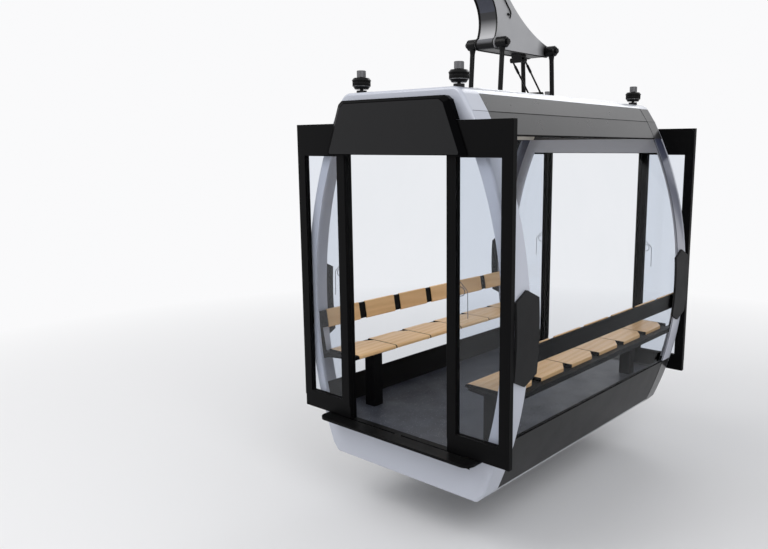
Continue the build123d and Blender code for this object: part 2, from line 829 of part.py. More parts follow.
def hanger_post():
    foot = Vector(post_x, -post_foot_y, post_foot_z)
    head = Vector(post_x, -tube_y, tube_z)
    axis = head - foot
    shaft = Plane(origin=foot, z_dir=axis) * Pos(0, 0, axis.length / 2) * Cylinder(post_radius, axis.length)
    # The socket under the cap narrows down to the shaft.
    socket = Cone(post_radius, post_socket_radius, post_socket_length)
    socket_middle = axis.length - post_socket_length / 2
    socket = Plane(origin=foot, z_dir=axis) * Pos(0, 0, socket_middle) * socket
    half = post_foot_plate / 2
    plate = block(post_x - half, post_x + half, -post_foot_y - half, -post_foot_y + half,
                  post_foot_z, post_foot_z + post_foot_thickness)
    cap = rod_x(post_cap_inner_x, post_cap_outer_x, -tube_y, tube_z, post_cap_radius)
    cap = chamfer(cap.edges().sort_by(Axis.X)[-1], post_cap_chamfer)
    nut = Pos(-tube_y, tube_z) * RegularPolygon(post_nut_radius, 6)
    nut = prism_x(nut, post_cap_outer_x, post_cap_outer_x + post_nut_length)
    below_foot = block(0, far, -far, 0, post_foot_z - far, post_foot_z)
    return shaft + socket + plate + cap + nut - below_foot


def cross_tube(y_sign):
    return rod_x(-post_cap_inner_x, post_cap_inner_x, y_sign * tube_y, tube_z, tube_radius)


def arm_section():
    # Side view of the hanger arm, y to the rear and z up.
    front_neck = (neck_front_y, tube_z + neck_front_rise)
    rear_neck = (neck_rear_y, tube_z + neck_rear_rise)
    head_top_z = pivot_z + eye_radius
    shoulder = (eye_inner_y, pivot_z - head_shoulder_drop)
    outer_mid_z = (front_neck[1] + pivot_z) / 2
    inner_mid_z = (rear_neck[1] + shoulder[1]) / 2
    outer_bow = ThreePointArc(front_neck, (arm_bend_y, outer_mid_z), (eye_outer_y, pivot_z))
    inner_bow = ThreePointArc(rear_neck, (arm_bend_y + arm_bend_width, inner_mid_z), shoulder)
    boss_top_z = tube_z + arm_boss_radius
    front_foot = (-tube_y - neck_foot_overhang, boss_top_z)
    rear_foot = (tube_y, boss_top_z)
    edges = [
        Line((-tube_y, arm_under_z), (tube_y, arm_under_z)),
        Line((tube_y, arm_under_z), rear_foot),
        TangentArc(rear_neck, rear_foot, tangent=(inner_bow % 0) * -1),
        inner_bow,
        Line(shoulder, (eye_inner_y, head_top_z)),
        Line((eye_inner_y, head_top_z), (eye_outer_y, head_top_z)),
        Line((eye_outer_y, head_top_z), (eye_outer_y, pivot_z)),
        outer_bow,
        TangentArc(front_neck, front_foot, tangent=(outer_bow % 0) * -1),
        Line(front_foot, (-tube_y, arm_under_z)),
    ]
    bosses = [Pos(sign * tube_y, tube_z) * Circle(arm_boss_radius) for sign in side_signs]
    return make_face(edges) + bosses


def arm_front_view():
    # Front view of the arm: straight sides that narrow to the round pivot eye.
    taper_foot_z = pivot_z - eye_radius - eye_taper
    taper = make_face(Polyline((-arm_half_width, taper_foot_z), (arm_half_width, taper_foot_z),
                               (eye_radius, pivot_z), (-eye_radius, pivot_z), close=True))
    straight = area(-arm_half_width, arm_half_width, 0, taper_foot_z)
    return straight + taper + Pos(0, pivot_z) * Circle(eye_radius)


def stay_lug(pin_y, pin_z, root_z, root_from, root_to):
    # A lug between the two stay rods, with the pin that their eyes hang on.
    root = make_face(Polyline((root_from, root_z), (root_to, root_z), (pin_y + stay_eye_radius, pin_z),
                              (pin_y - stay_eye_radius, pin_z), close=True))
    half = stay_x - stay_eye_width / 2
    lug = prism_x(root + Pos(pin_y, pin_z) * Circle(stay_eye_radius), -half, half)
    pin_end = stay_x + stay_eye_width / 2 + stay_pin_end
    return lug + rod_x(-pin_end, pin_end, pin_y, pin_z, stay_pin_radius)


def hanger_arm():
    section = arm_section()
    core = offset(section, amount=-arm_web_inset)
    hollow = offset(section, amount=-arm_web_inset - arm_web)
    hollow_top_z = pivot_z - hollow_below_pivot
    inner_x = arm_half_width - arm_plate
    arm = prism_x(core, -inner_x, inner_x)
    for sign in side_signs:
        arm += prism_x(section, sign * inner_x, sign * arm_half_width)
    arm += prism_x(section & area(-far, far, hollow_top_z, far + rope_height), -inner_x, inner_x)
    arm -= prism_x(hollow & area(-far, far, 0, hollow_top_z), -inner_x, inner_x)
    arm &= prism_y(arm_front_view(), -far, far)
    lug_root_z = arm_under_z + arm_web_inset + arm_web / 2
    arm += stay_lug(stay_head_y, stay_head_z, lug_root_z,
                    stay_head_y - stay_lug_width, stay_head_y + stay_lug_width)
    for sign in side_signs:
        arm -= rod_x(-far, far, sign * tube_y, tube_z, tube_radius)
    arm -= rod_y(eye_outer_y - 1, eye_inner_y + 1, 0, pivot_z, pivot_radius + running_clearance)
    # A flat round face for the pivot nut to stand in.
    return arm - rod_y(eye_outer_y - spot_face_depth, eye_outer_y, 0, pivot_z, pivot_nut_radius + side_gap)


def stay_rod():
    head = Vector(stay_x, stay_head_y, stay_head_z)
    foot = Vector(stay_x, stay_foot_y, stay_foot_z)
    axis = head - foot
    along = Plane(origin=foot, z_dir=axis)
    rod = along * Pos(0, 0, axis.length / 2) * Cylinder(stay_radius, axis.length)
    # The sleeve near the head, where the rod's length is set.
    sleeve_middle = axis.length - (stay_sleeve_from + stay_sleeve_to) / 2
    rod += along * Pos(0, 0, sleeve_middle) * Cylinder(stay_sleeve_radius, stay_sleeve_to - stay_sleeve_from)
    x_from = stay_x - stay_eye_width / 2
    x_to = stay_x + stay_eye_width / 2
    for end in (head, foot):
        rod += rod_x(x_from, x_to, end.Y, end.Z, stay_eye_radius)
    for end in (head, foot):
        rod -= rod_x(x_from - 1, x_to + 1, end.Y, end.Z, stay_pin_radius + running_clearance)
    return rod


def stay_bracket():
    half = stay_x + stay_eye_width
    plate_top_z = post_foot_z + stay_plate_thickness
    y_from = stay_foot_y - stay_lug_width
    y_to = stay_foot_y + stay_bracket_reach
    plate = block(-half, half, y_from, y_to, post_foot_z, plate_top_z)
    return plate + stay_lug(stay_foot_y, stay_foot_z, plate_top_z, y_from + stay_plate_thickness,
                            y_to - stay_plate_thickness)


def jaw_sector(inner, outer, angle_from, angle_to):
    # A ring sector round the rope, seen along X, y to the rear and z up.
    middle = (angle_from + angle_to) / 2

    def at(radius, angle):
        turn = math.radians(angle)
        return (radius * math.cos(turn), radius * math.sin(turn))

    edges = [
        ThreePointArc(at(inner, angle_from), at(inner, middle), at(inner, angle_to)),
        Line(at(inner, angle_to), at(outer, angle_to)),
        ThreePointArc(at(outer, angle_to), at(outer, middle), at(outer, angle_from)),
        Line(at(outer, angle_from), at(inner, angle_from)),
    ]
    return make_face(edges)


def rope_frame(piece):
    # From heights counted from the rope's centre to the cabin's heights.
    return Pos(0, 0, rope_height) * piece


def spring_pot():
    # The ribbed cylinder that holds a closing spring, with its cap at each end.
    pot = rod_z(pot_foot_z, pot_top_z, pot_x, pot_y, pot_radius)
    pot += rod_z(pot_foot_z - pot_cap_height, pot_top_z + pot_cap_height, pot_x, pot_y, pot_cap_radius)
    middle_z = (pot_foot_z + pot_top_z) / 2
    for number in range(pot_rib_count):
        z_mid = middle_z + (number - (pot_rib_count - 1) / 2) * pot_rib_pitch
        pot += rod_z(z_mid - pot_rib_height / 2, z_mid + pot_rib_height / 2, pot_x, pot_y,
                     pot_radius + pot_rib_stand_out)
    return pot


def wheel_arm():
    # A tapered arm from the spring pot out to a running wheel's axle, with the axle.
    outline = make_face(Polyline((pot_x, pot_top_z), (wheel_x, wheel_z + wheel_hub_radius),
                                 (wheel_x, wheel_z - wheel_hub_radius), (pot_x, wheel_arm_foot_z),
                                 close=True))
    outline += Pos(wheel_x, wheel_z) * Circle(wheel_hub_radius)
    arm = prism_y(outline, wheel_arm_outer_y, wheel_arm_inner_y)
    axle_end = wheel_inner_y - wheel_width - side_gap
    arm += rod_y(wheel_arm_inner_y - 1, axle_end, wheel_x, wheel_z, wheel_axle_radius)
    arm += rod_y(wheel_arm_outer_y + 1, wheel_inner_y + side_gap, wheel_x, wheel_z, wheel_boss_radius)
    return arm + rod_y(axle_end, axle_end - collar_height, wheel_x, wheel_z, wheel_boss_radius)


def shaft_lug():
    # A cheek that carries one end of the jaw shaft, with a post for the drive plate.
    cheek = make_face(Polyline((0, shaft_z + hub_radius), (pot_y, pot_top_z), (pot_y, lug_foot_z),
                               (0, shaft_z - hub_radius), close=True))
    cheek += Pos(0, shaft_z) * Circle(hub_radius)
    lug = prism_x(cheek, lug_inner_x, lug_outer_x)
    return lug + rod_z(shaft_z, drive_plate_z, (lug_inner_x + lug_outer_x) / 2, 0, drive_post_radius)


def grip_body():
    jaw = prism_x(jaw_sector(rope_radius, jaw_radius, fixed_jaw_from, fixed_jaw_to),
                  -fixed_jaw_half_length, fixed_jaw_half_length)
    casting = area(casting_outer_y, casting_inner_y, casting_foot_z, casting_top_z)
    stepped = [casting.vertices().sort_by(Axis.Y)[-2:].sort_by(Axis.X)[0],
               casting.vertices().sort_by(Axis.Y)[:2].sort_by(Axis.X)[-1]]
    casting = chamfer(stepped, casting_step)
    body = prism_x(casting, -casting_half_length, casting_half_length) + jaw
    body += block(-pot_x, pot_x, pot_y - tie_web / 2, pot_y + tie_web / 2,
                  casting_foot_z + casting_step, casting_top_z - casting_step)
    half = spring_pot() + wheel_arm() + shaft_lug()
    body += half
    body += to_left(half)
    body -= rod_x(-far, far, 0, 0, rope_radius)
    body += rod_x(-lug_outer_x, lug_outer_x, 0, shaft_z, shaft_radius)
    pin_end = eye_outer_y - side_gap
    body += rod_y(casting_outer_y + 1, pin_end, 0, -pivot_below_rope, pivot_radius)
    body += rod_y(casting_outer_y + 1, eye_inner_y + side_gap, 0, -pivot_below_rope, pivot_root_radius)
    nut = Pos(0, -pivot_below_rope) * RegularPolygon(pivot_nut_radius, 6)
    return rope_frame(body + prism_y(nut, pin_end - pivot_nut_length, pin_end))


def drive_plate():
    # The plate that station tyres press on, with its ends bent down as ramps.
    top_z = drive_plate_z + drive_plate_thickness
    ramp_x = drive_plate_half_length + drive_plate_ramp
    drop = drive_plate_ramp_drop
    half = make_face(Polyline((0, drive_plate_z), (drive_plate_half_length, drive_plate_z),
                              (ramp_x, drive_plate_z - drop), (ramp_x, top_z - drop),
                              (drive_plate_half_length, top_z), (0, top_z), close=True))
    plate = prism_y(half + mirror(half, about=Plane.YZ), drive_plate_outer_y, drive_plate_inner_y)
    for y_from in (drive_plate_outer_y, drive_plate_inner_y - drive_rib_thickness):
        plate += block(-drive_plate_half_length, drive_plate_half_length,
                       y_from, y_from + drive_rib_thickness, drive_plate_z - drive_rib_height, drive_plate_z)
    return rope_frame(plate)


def lever_beam(from_share, to_share, margin):
    # The tapered beam of the jaw lever between two shares of its length, set in by a margin.
    length = math.hypot(lever_tip_y, lever_tip_rise)
    along = (lever_tip_y / length, lever_tip_rise / length)
    across = (-along[1], along[0])

    def at(share, side):
        half = (lever_root_depth + (lever_tip_depth - lever_root_depth) * share) / 2 - margin
        return (along[0] * length * share + side * across[0] * half,
                shaft_z + along[1] * length * share + side * across[1] * half)

    corners = [at(from_share, 1), at(to_share, 1), at(to_share, -1), at(from_share, -1)]
    return make_face(Polyline(*corners, close=True))


def jaw_lever():
    half_length = lug_inner_x - side_gap
    arc = jaw_sector(rope_radius, jaw_radius, moving_jaw_from, moving_jaw_to)
    neck = make_face(Polyline((jaw_radius, 0), (hub_radius, shaft_z), (jaw_neck_inner_y, shaft_z),
                              (jaw_neck_inner_y, 0), close=True)) - Circle(rope_radius)
    body = prism_x(arc + neck, -half_length, half_length)
    body += rod_x(-half_length, half_length, 0, shaft_z, hub_radius)
    tip = Pos(lever_tip_y, shaft_z + lever_tip_rise) * Circle(lever_tip_radius)
    body += prism_x(lever_beam(0, 1, 0) + tip, -lever_half_width, lever_half_width)
    pocket = lever_beam(lever_pocket_from, lever_pocket_to, lever_pocket_margin)
    pocket_floor = lever_half_width - lever_pocket_depth
    for sign in side_signs:
        body -= prism_x(pocket, sign * pocket_floor, sign * (lever_half_width + 1))
    body -= rod_x(-far, far, 0, shaft_z, shaft_radius + running_clearance)
    tip_z = shaft_z + lever_tip_rise
    stub_end = lever_tip_y - lever_tip_radius - 2 * side_gap - lever_roller_width
    body += rod_y(lever_tip_y, stub_end, 0, tip_z, stub_radius)
    body += rod_y(stub_end, stub_end - collar_height, 0, tip_z, stub_cap_radius)
    return rope_frame(body)


def plain_roller(radius, width, bore_radius, edge):
    # A small solid roller turned about Y with bevelled edges, centred on the origin.
    half = width / 2
    corners = [(bore_radius, -half), (radius - edge, -half), (radius, edge - half), (radius, half - edge),
               (radius - edge, half), (bore_radius, half)]
    return Rot(90, 0, 0) * revolve(Plane.XZ * make_face(Polyline(*corners, close=True)), Axis.Z)


def wheel(radius, width, bore_radius, edge):
    # A roller turned about Y with bevelled edges, a dished web and a hub, centred on the origin.
    half = width / 2
    hub = bore_radius + wheel_hub_wall
    rim = radius - wheel_rim_depth
    near = [(bore_radius, -half), (hub, -half), (hub + edge, edge - half), (rim - edge, edge - half),
            (rim, -half), (radius - edge, -half), (radius, edge - half)]
    far_side = [(x, -y) for x, y in reversed(near)]
    return Rot(90, 0, 0) * revolve(Plane.XZ * make_face(Polyline(*near, *far_side, close=True)), Axis.Z)


def running_wheel(sign):
    turned = wheel(wheel_radius, wheel_width, wheel_axle_radius + running_clearance, side_gap)
    return rope_frame(Pos(sign * wheel_x, wheel_inner_y - wheel_width / 2, wheel_z) * turned)


def lever_roller():
    bore_radius = stub_radius + running_clearance
    turned = plain_roller(lever_roller_radius, lever_roller_width, bore_radius, side_gap / 2)
    y_mid = lever_tip_y - lever_tip_radius - side_gap - lever_roller_width / 2
    return rope_frame(Pos(0, y_mid, shaft_z + lever_tip_rise) * turned)


def both_sides(piece):
    return together([piece, to_left(piece)])


def both_ends(piece):
    return together([piece, to_rear(piece)])


def all_nodes():
    ring = end_ring()
    upper = upper_side_panel()
    glass = side_glass()
    lower = lower_side_panel()
    housing = header_housing()
    bench = bench_frame()
    seats = together([seat_pad(y) for y in seat_places()])
    backs = together([back_pad(y) for y in seat_places()])
    nodes = {
        "end_ring_front": ring,
        "end_ring_rear": to_rear(ring),
        "roof": roof(),
        "ceiling_liner": ceiling_liner(),
        "upper_panel_right": upper,
        "upper_panel_left": to_left(upper),
        "side_glass_right": glass,
        "side_glass_left": to_left(glass),
        "lower_panel_right": lower,
        "lower_panel_left": to_left(lower),
        "bottom_rims": both_sides(bottom_rim()),
        "kick_walls": together([kick_wall(kick_wall_top_z), to_left(kick_wall(left_kick_wall_top_z))]),
        "floor_pan": floor_pan(),
        "floor_beams": both_sides(floor_beam()),
        "floor_ribs": floor_ribs(),
        "floor_mat": floor_mat(),
        "door_sills": both_ends(sill()),
        "door_jambs": together(corner_copies(jamb())),
        "end_panes": together(corner_copies(end_pane())),
        "header_housing_front": housing,
        "header_housing_rear": to_rear(housing),
        "header_screens": both_ends(header_screen()),
        "door_rods": both_ends(door_rods()),
        "bench_frame_right": bench,
        "bench_frame_left": to_left(bench),
        "seat_pads": both_sides(seats),
        "back_pads": both_sides(backs),
        "rub_pads": together(corner_copies(rub_pad())),
        "roller_axles": together(corner_copies(roller_axle())),
        "hanger_posts": together(corner_copies(hanger_post())),
        "cross_tubes": together([cross_tube(sign) for sign in side_signs]),
        "hanger_arm": hanger_arm(),
        "stay_rods": both_sides(stay_rod()),
        "stay_bracket": stay_bracket(),
        "grip_body": grip_body(),
        "drive_plate": drive_plate(),
        "jaw_lever": jaw_lever(),
        "lever_roller": lever_roller(),
        "running_wheel_up": running_wheel(1),
        "running_wheel_down": running_wheel(-1),
    }
    corner_names = ("front_right", "front_left", "rear_left", "rear_right")
    for name, piece in zip(corner_names, corner_copies(guide_roller())):
        nodes["guide_roller_" + name] = piece
    pane = leaf_glass()
    leaves = {
        "front_right": lambda piece: piece,
        "front_left": to_left,
        "rear_left": to_rear,
        "rear_right": lambda piece: to_rear(to_left(piece)),
    }
    for name, place in leaves.items():
        lane_number = 0 if name in ("front_right", "rear_left") else 1
        nodes["leaf_frame_" + name] = place(leaf_frame(lane_number))
        nodes["leaf_glass_" + name] = place(pane)
    return nodes


os.makedirs("parts", exist_ok=True)
for node_name, node_piece in all_nodes().items():
    export_step(Pos(0, 0, -rope_height) * node_piece, "parts/" + node_name + ".step")
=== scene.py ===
import math

import bpy
import bmesh
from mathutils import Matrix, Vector


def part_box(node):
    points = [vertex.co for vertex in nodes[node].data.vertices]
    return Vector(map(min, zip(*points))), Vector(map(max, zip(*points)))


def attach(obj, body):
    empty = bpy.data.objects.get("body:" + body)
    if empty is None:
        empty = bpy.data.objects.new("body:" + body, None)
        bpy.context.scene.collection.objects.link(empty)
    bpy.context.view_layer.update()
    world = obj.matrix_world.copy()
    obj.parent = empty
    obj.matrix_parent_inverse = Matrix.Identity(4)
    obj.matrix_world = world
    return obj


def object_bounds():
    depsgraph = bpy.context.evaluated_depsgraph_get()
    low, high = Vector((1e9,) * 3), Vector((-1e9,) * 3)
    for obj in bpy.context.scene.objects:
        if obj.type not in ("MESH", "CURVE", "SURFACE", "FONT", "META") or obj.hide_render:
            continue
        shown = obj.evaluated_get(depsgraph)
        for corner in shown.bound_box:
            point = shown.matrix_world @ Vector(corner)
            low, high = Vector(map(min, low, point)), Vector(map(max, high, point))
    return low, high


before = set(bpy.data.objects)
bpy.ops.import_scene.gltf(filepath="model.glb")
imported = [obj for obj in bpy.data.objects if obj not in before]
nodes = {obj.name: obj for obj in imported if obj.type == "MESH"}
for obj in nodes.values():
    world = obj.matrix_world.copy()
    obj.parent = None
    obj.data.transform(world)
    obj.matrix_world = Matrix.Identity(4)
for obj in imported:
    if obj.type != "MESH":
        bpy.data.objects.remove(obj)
cadLow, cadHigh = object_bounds()
sillHeight = -4.75  # heights in this script count from just above the door sill, as in the part's source
print("frame loaded:", len(nodes), "nodes")


def addObject(name, data):
    made = bpy.data.objects.new(name, data)
    bpy.context.scene.collection.objects.link(made)
    return made


# Camera
cameraSetup = {
    "place": (3.501, -5.067, 2.021 + sillHeight), "turn": 39.49, "tilt": -9.72,
    "lens": 34.36, "sensor": 36, "shiftX": -0.0844,
}


def makeCamera(setup):
    data = bpy.data.cameras.new("camera")
    data.lens = setup["lens"]
    data.sensor_width = setup["sensor"]
    data.shift_x = setup["shiftX"]
    camera = addObject("camera", data)
    camera.location = setup["place"]
    camera.rotation_euler = (math.radians(90 + setup["tilt"]), 0, math.radians(setup["turn"]))
    bpy.context.scene.camera = camera


makeCamera(cameraSetup)
bpy.context.scene.view_settings.view_transform = "Standard"


# Small helpers for node trees
def feed(tree, node, inputs):
    # Links or sets each input, found by its name or its place.
    for key, value in inputs.items():
        if isinstance(value, bpy.types.NodeSocket):
            tree.links.new(value, node.inputs[key])
        else:
            node.inputs[key].default_value = value


def addNode(tree, kind, inputs=None, **settings):
    node = tree.nodes.new(kind)
    for name, value in settings.items():
        setattr(node, name, value)
    feed(tree, node, inputs or {})
    return node


def mathNode(tree, operation, first, second=0.0):
    return addNode(tree, "ShaderNodeMath", {0: first, 1: second}, operation=operation).outputs[0]


def times(tree, product, *factors):
    for factor in factors:
        product = mathNode(tree, "MULTIPLY", product, factor)
    return product


def above(tree, value, limit):
    return mathNode(tree, "GREATER_THAN", value, limit)


def below(tree, value, limit):
    return mathNode(tree, "LESS_THAN", value, limit)


def vectorNode(tree, operation, first, second, output="Vector"):
    return addNode(tree, "ShaderNodeVectorMath", {0: first, 1: second}, operation=operation).outputs[output]


def nudge(tree, coords, amount, reach):
    # Moves coordinates by a colour that is taken as a vector.
    return vectorNode(tree, "ADD", coords, vectorNode(tree, "MULTIPLY", amount, (reach, reach, reach)))


def separate(tree, vector):
    return addNode(tree, "ShaderNodeSeparateXYZ", {0: vector}).outputs


def mixColour(tree, factor, first, second):
    # The colour sockets share their names with the node's other sockets, so they are found by place.
    return addNode(tree, "ShaderNodeMix", {0: factor, 6: first, 7: second}, data_type="RGBA").outputs[2]


def mapRange(tree, value, fromLow, fromHigh, toLow=0.0, toHigh=1.0):
    return addNode(tree, "ShaderNodeMapRange", {
        "Value": value, "From Min": fromLow, "From Max": fromHigh, "To Min": toLow, "To Max": toHigh}).outputs[0]


def noise(tree, coords, scale, detail, roughness=0.5):
    return addNode(tree, "ShaderNodeTexNoise", {
        "Vector": coords, "Scale": scale, "Detail": detail, "Roughness": roughness}).outputs


def cells(tree, coords, scale):
    # Cells of a Voronoi texture, and the parts of each cell's own colour.
    texture = addNode(tree, "ShaderNodeTexVoronoi", {"Vector": coords, "Scale": scale}).outputs
    return texture["Distance"], addNode(tree, "ShaderNodeSeparateColor", {0: texture["Color"]}).outputs


def mixShaders(tree, share, first, second, outputNode="Material Output"):
    mix = addNode(tree, "ShaderNodeMixShader", {0: share, 1: first.outputs[0], 2: second.outputs[0]})
    feed(tree, tree.nodes[outputNode], {"Surface": mix.outputs[0]})


def colour(red, green, blue):
    # From the 0-255 values that a picture editor shows to what a shader takes.
    def straight(value):
        share = value / 255
        return share / 12.92 if share <= 0.04045 else ((share + 0.055) / 1.055) ** 2.4
    return (straight(red), straight(green), straight(blue), 1.0)


def newGroup(name, inputs, outputs, kind="ShaderNodeTree"):
    # A node group with named sockets, and the two nodes through which it is fed and read.
    group = bpy.data.node_groups.new(name, kind)
    for way, sockets in (("INPUT", inputs), ("OUTPUT", outputs)):
        for label, socketKind in sockets.items():
            group.interface.new_socket(label, in_out=way, socket_type="NodeSocket" + socketKind)
    return group, group.nodes.new("NodeGroupInput").outputs, group.nodes.new("NodeGroupOutput")


def useGroup(tree, group, coords, **inputs):
    return addNode(tree, "ShaderNodeGroup", {"Coords": coords, **inputs}, node_tree=group).outputs


# Shared surface effects
noiseSpread = (0.3, 0.7)  # nearly all values of a noise texture lie between these


def makeSmudge(look):
    # Slow cloudy change, for tone, roughness and faint dirt.
    group, given, result = newGroup(
        "smudge", {"Coords": "Vector", "Scale": "Float", "Low": "Float", "High": "Float"}, {"Value": "Float"})
    cloud = noise(group, given["Coords"], given["Scale"], look["detail"], look["roughness"])["Fac"]
    feed(group, result, {"Value": mapRange(group, cloud, *noiseSpread, given["Low"], given["High"])})
    return group


def makeGrit(look):
    # Fine uneven skin of paint, rubber or cast metal, as a height.
    group, given, result = newGroup(
        "grit", {"Coords": "Vector", "Scale": "Float", "Coarse": "Float"}, {"Height": "Float"})
    fine = noise(group, given["Coords"], given["Scale"], look["fineDetail"])["Fac"]
    slowScale = times(group, given["Scale"], look["slowShare"])
    slow = noise(group, given["Coords"], slowScale, look["slowDetail"])["Fac"]
    lifted = times(group, slow, given["Coarse"])
    feed(group, result, {"Height": mathNode(group, "ADD", fine, lifted)})
    return group


def makeBrushed(look):
    # Drawn lines of rolled or brushed metal, by a noise that is stretched along one axis.
    group, given, result = newGroup(
        "brushed", {"Coords": "Vector", "Stretch": "Vector", "Low": "Float", "High": "Float"},
        {"Value": "Float", "Height": "Float"})
    stretched = vectorNode(group, "MULTIPLY", given["Coords"], given["Stretch"])
    lines = noise(group, stretched, 1.0, look["detail"])["Fac"]
    feed(group, result, {
        "Value": mapRange(group, lines, *noiseSpread, given["Low"], given["High"]), "Height": lines})
    return group


def makeDust(look):
    # Dust that lies on what faces up.
    group, given, result = newGroup(
        "dust", {"Coords": "Vector", "Normal": "Vector", "Amount": "Float"}, {"Mask": "Float"})
    facing = mapRange(group, separate(group, given["Normal"])["Z"], look["upFrom"], 1.0)
    patches = noise(group, given["Coords"], look["scale"], look["detail"])["Fac"]
    cloud = mapRange(group, patches, *look["patchSpread"], look["thinnest"], 1.0)
    feed(group, result, {"Mask": times(group, facing, cloud, given["Amount"])})
    return group


def makeWoodGrain(look):
    # Veneer whose grain runs along Y, each pad cut from another place of the sheet.
    group, given, result = newGroup(
        "woodGrain", {"Coords": "Vector", "Pale": "Color", "Dark": "Color", "Pitch": "Float"},
        {"Color": "Color", "Roughness": "Float", "Height": "Float"})
    place = separate(group, given["Coords"])
    pad = mathNode(group, "FLOOR", mathNode(group, "DIVIDE", place["Y"], given["Pitch"]))
    side = times(group, mathNode(group, "SIGN", place["X"]), look["sideKey"])
    padKey = mathNode(group, "ADD", pad, side)
    chance = addNode(group, "ShaderNodeTexWhiteNoise", {"W": padKey}, noise_dimensions="1D").outputs
    moved = nudge(group, given["Coords"], chance["Color"], look["cutReach"])
    stretched = vectorNode(group, "MULTIPLY", moved, look["stretch"])
    warp = noise(group, stretched, look["warpScale"], look["warpDetail"])["Color"]
    rings = addNode(group, "ShaderNodeTexWave", {
        "Vector": nudge(group, stretched, warp, look["warpReach"]), "Scale": look["ringScale"],
        "Distortion": look["ringBend"], "Detail": look["ringDetail"], "Detail Scale": look["ringDetailScale"]},
        wave_type="BANDS", bands_direction="DIAGONAL").outputs["Fac"]
    pores = noise(group, vectorNode(group, "MULTIPLY", moved, look["poreStretch"]), 1.0, look["poreDetail"])
    poreMask = mapRange(group, pores["Fac"], *look["poreSpread"])
    base = mixColour(group, mapRange(group, rings, 0.0, 1.0, 0.0, look["ringShare"]), given["Pale"], given["Dark"])
    padTone = mapRange(group, chance["Value"], 0.0, 1.0, 0.0, look["padShare"])
    base = mixColour(group, padTone, base, given["Dark"])
    base = mixColour(group, times(group, poreMask, look["poreShare"]), base, given["Dark"])
    feed(group, result, {
        "Color": base, "Roughness": mapRange(group, rings, 0.0, 1.0, *look["rough"]),
        "Height": times(group, poreMask, -1.0)})
    return group


def makeFlecks(look):
    # Coloured chips scattered in a dark floor sheet.
    group, given, result = newGroup(
        "flecks", {"Coords": "Vector", "Scale": "Float", "Base": "Color", "Fleck": "Color"},
        {"Color": "Color", "Height": "Float"})
    distance, drawn = cells(group, given["Coords"], given["Scale"])
    near = mapRange(group, distance, *look["chipEdge"], 1.0, 0.0)
    chosen = mapRange(group, drawn["Red"], *look["chosenFrom"])
    strength = times(group, near, chosen, drawn["Green"])
    cloud = noise(group, given["Coords"], look["cloudScale"], look["cloudDetail"])["Fac"]
    wear = mapRange(group, cloud, *look["cloudSpread"], 0.0, look["cloudShare"])
    lifted = mixColour(group, wear, given["Base"], given["Fleck"])
    feed(group, result, {"Color": mixColour(group, strength, lifted, given["Fleck"]), "Height": distance})
    return group


def makeSpangle(look):
    # The crystal patches of hot-dip zinc, each with its own tone.
    group, given, result = newGroup("spangle", {"Coords": "Vector", "Scale": "Float"}, {"Value": "Float"})
    warp = noise(group, given["Coords"], look["warpScale"], look["warpDetail"])["Color"]
    moved = nudge(group, given["Coords"], warp, look["warpReach"])
    drawn = cells(group, moved, given["Scale"])[1]
    feed(group, result, {"Value": drawn["Red"]})
    return group


smudge = makeSmudge({"detail": 4.0, "roughness": 0.6})
grit = makeGrit({"fineDetail": 3.0, "slowShare": 0.12, "slowDetail": 2.0})
brushed = makeBrushed({"detail": 4.0})
dust = makeDust({"upFrom": 0.3, "scale": 9.0, "detail": 5.0, "patchSpread": (0.35, 0.75), "thinnest": 0.2})
woodGrain = makeWoodGrain({
    "sideKey": 17.0, "cutReach": 3.0, "stretch": (1.0, 0.09, 1.0),
    "warpScale": 7.0, "warpDetail": 2.0, "warpReach": 0.09,
    "ringScale": 9.0, "ringBend": 2.5, "ringDetail": 3.0, "ringDetailScale": 1.5,
    "poreStretch": (420.0, 14.0, 420.0), "poreDetail": 3.0, "poreSpread": (0.52, 0.72),
    "ringShare": 0.3, "padShare": 0.22, "poreShare": 0.35, "rough": (0.34, 0.46),
})
flecks = makeFlecks({
    "chipEdge": (0.22, 0.4), "chosenFrom": (0.8, 0.86),
    "cloudScale": 5.0, "cloudDetail": 4.0, "cloudSpread": (0.3, 0.8), "cloudShare": 0.16,
})
spangle = makeSpangle({"warpScale": 40.0, "warpDetail": 2.0, "warpReach": 0.012})


# Materials
evenSockets = {
    "metal": "Metallic", "shine": "Specular IOR Level", "coat": "Coat Weight", "coatRough": "Coat Roughness",
    "bend": "IOR", "clearness": "Transmission Weight", "evenColour": "Base Color", "evenRough": "Roughness",
}


def startMaterial(name, spec):
    # A new material with one Principled shader. What is the same all over is set on the shader's own sockets.
    material = bpy.data.materials.new(name)
    material.use_nodes = True
    tree = material.node_tree
    shader = tree.nodes["Principled BSDF"]
    feed(tree, shader, {label: spec[key] for key, label in evenSockets.items() if key in spec})
    coords = tree.nodes.new("ShaderNodeTexCoord").outputs["Object"]
    return material, tree, shader, coords


def clouds(tree, coords, scale, low=0.0, high=1.0):
    return useGroup(tree, smudge, coords, Scale=scale, Low=low, High=high)["Value"]


def brushLines(tree, coords, spec):
    low, high = spec["rough"]
    return useGroup(tree, brushed, coords, Stretch=spec["stretch"], Low=low, High=high)


def bump(tree, shader, height, spec):
    node = addNode(tree, "ShaderNodeBump", {
        "Height": height, "Strength": spec["bump"], "Distance": spec["bumpDepth"]})
    feed(tree, shader, {"Normal": node.outputs[0]})


def skin(tree, shader, coords, spec, coarse=1.0):
    height = useGroup(tree, grit, coords, Scale=spec["gritScale"], Coarse=coarse)["Height"]
    bump(tree, shader, height, spec)


def dressSurface(tree, shader, coords, spec, baseColour):
    # How most materials end: their colour, cloudy roughness and fine skin.
    rough = clouds(tree, coords, spec["roughScale"], *spec["rough"])
    feed(tree, shader, {"Base Color": baseColour, "Roughness": rough})
    skin(tree, shader, coords, spec)


finishes = {}


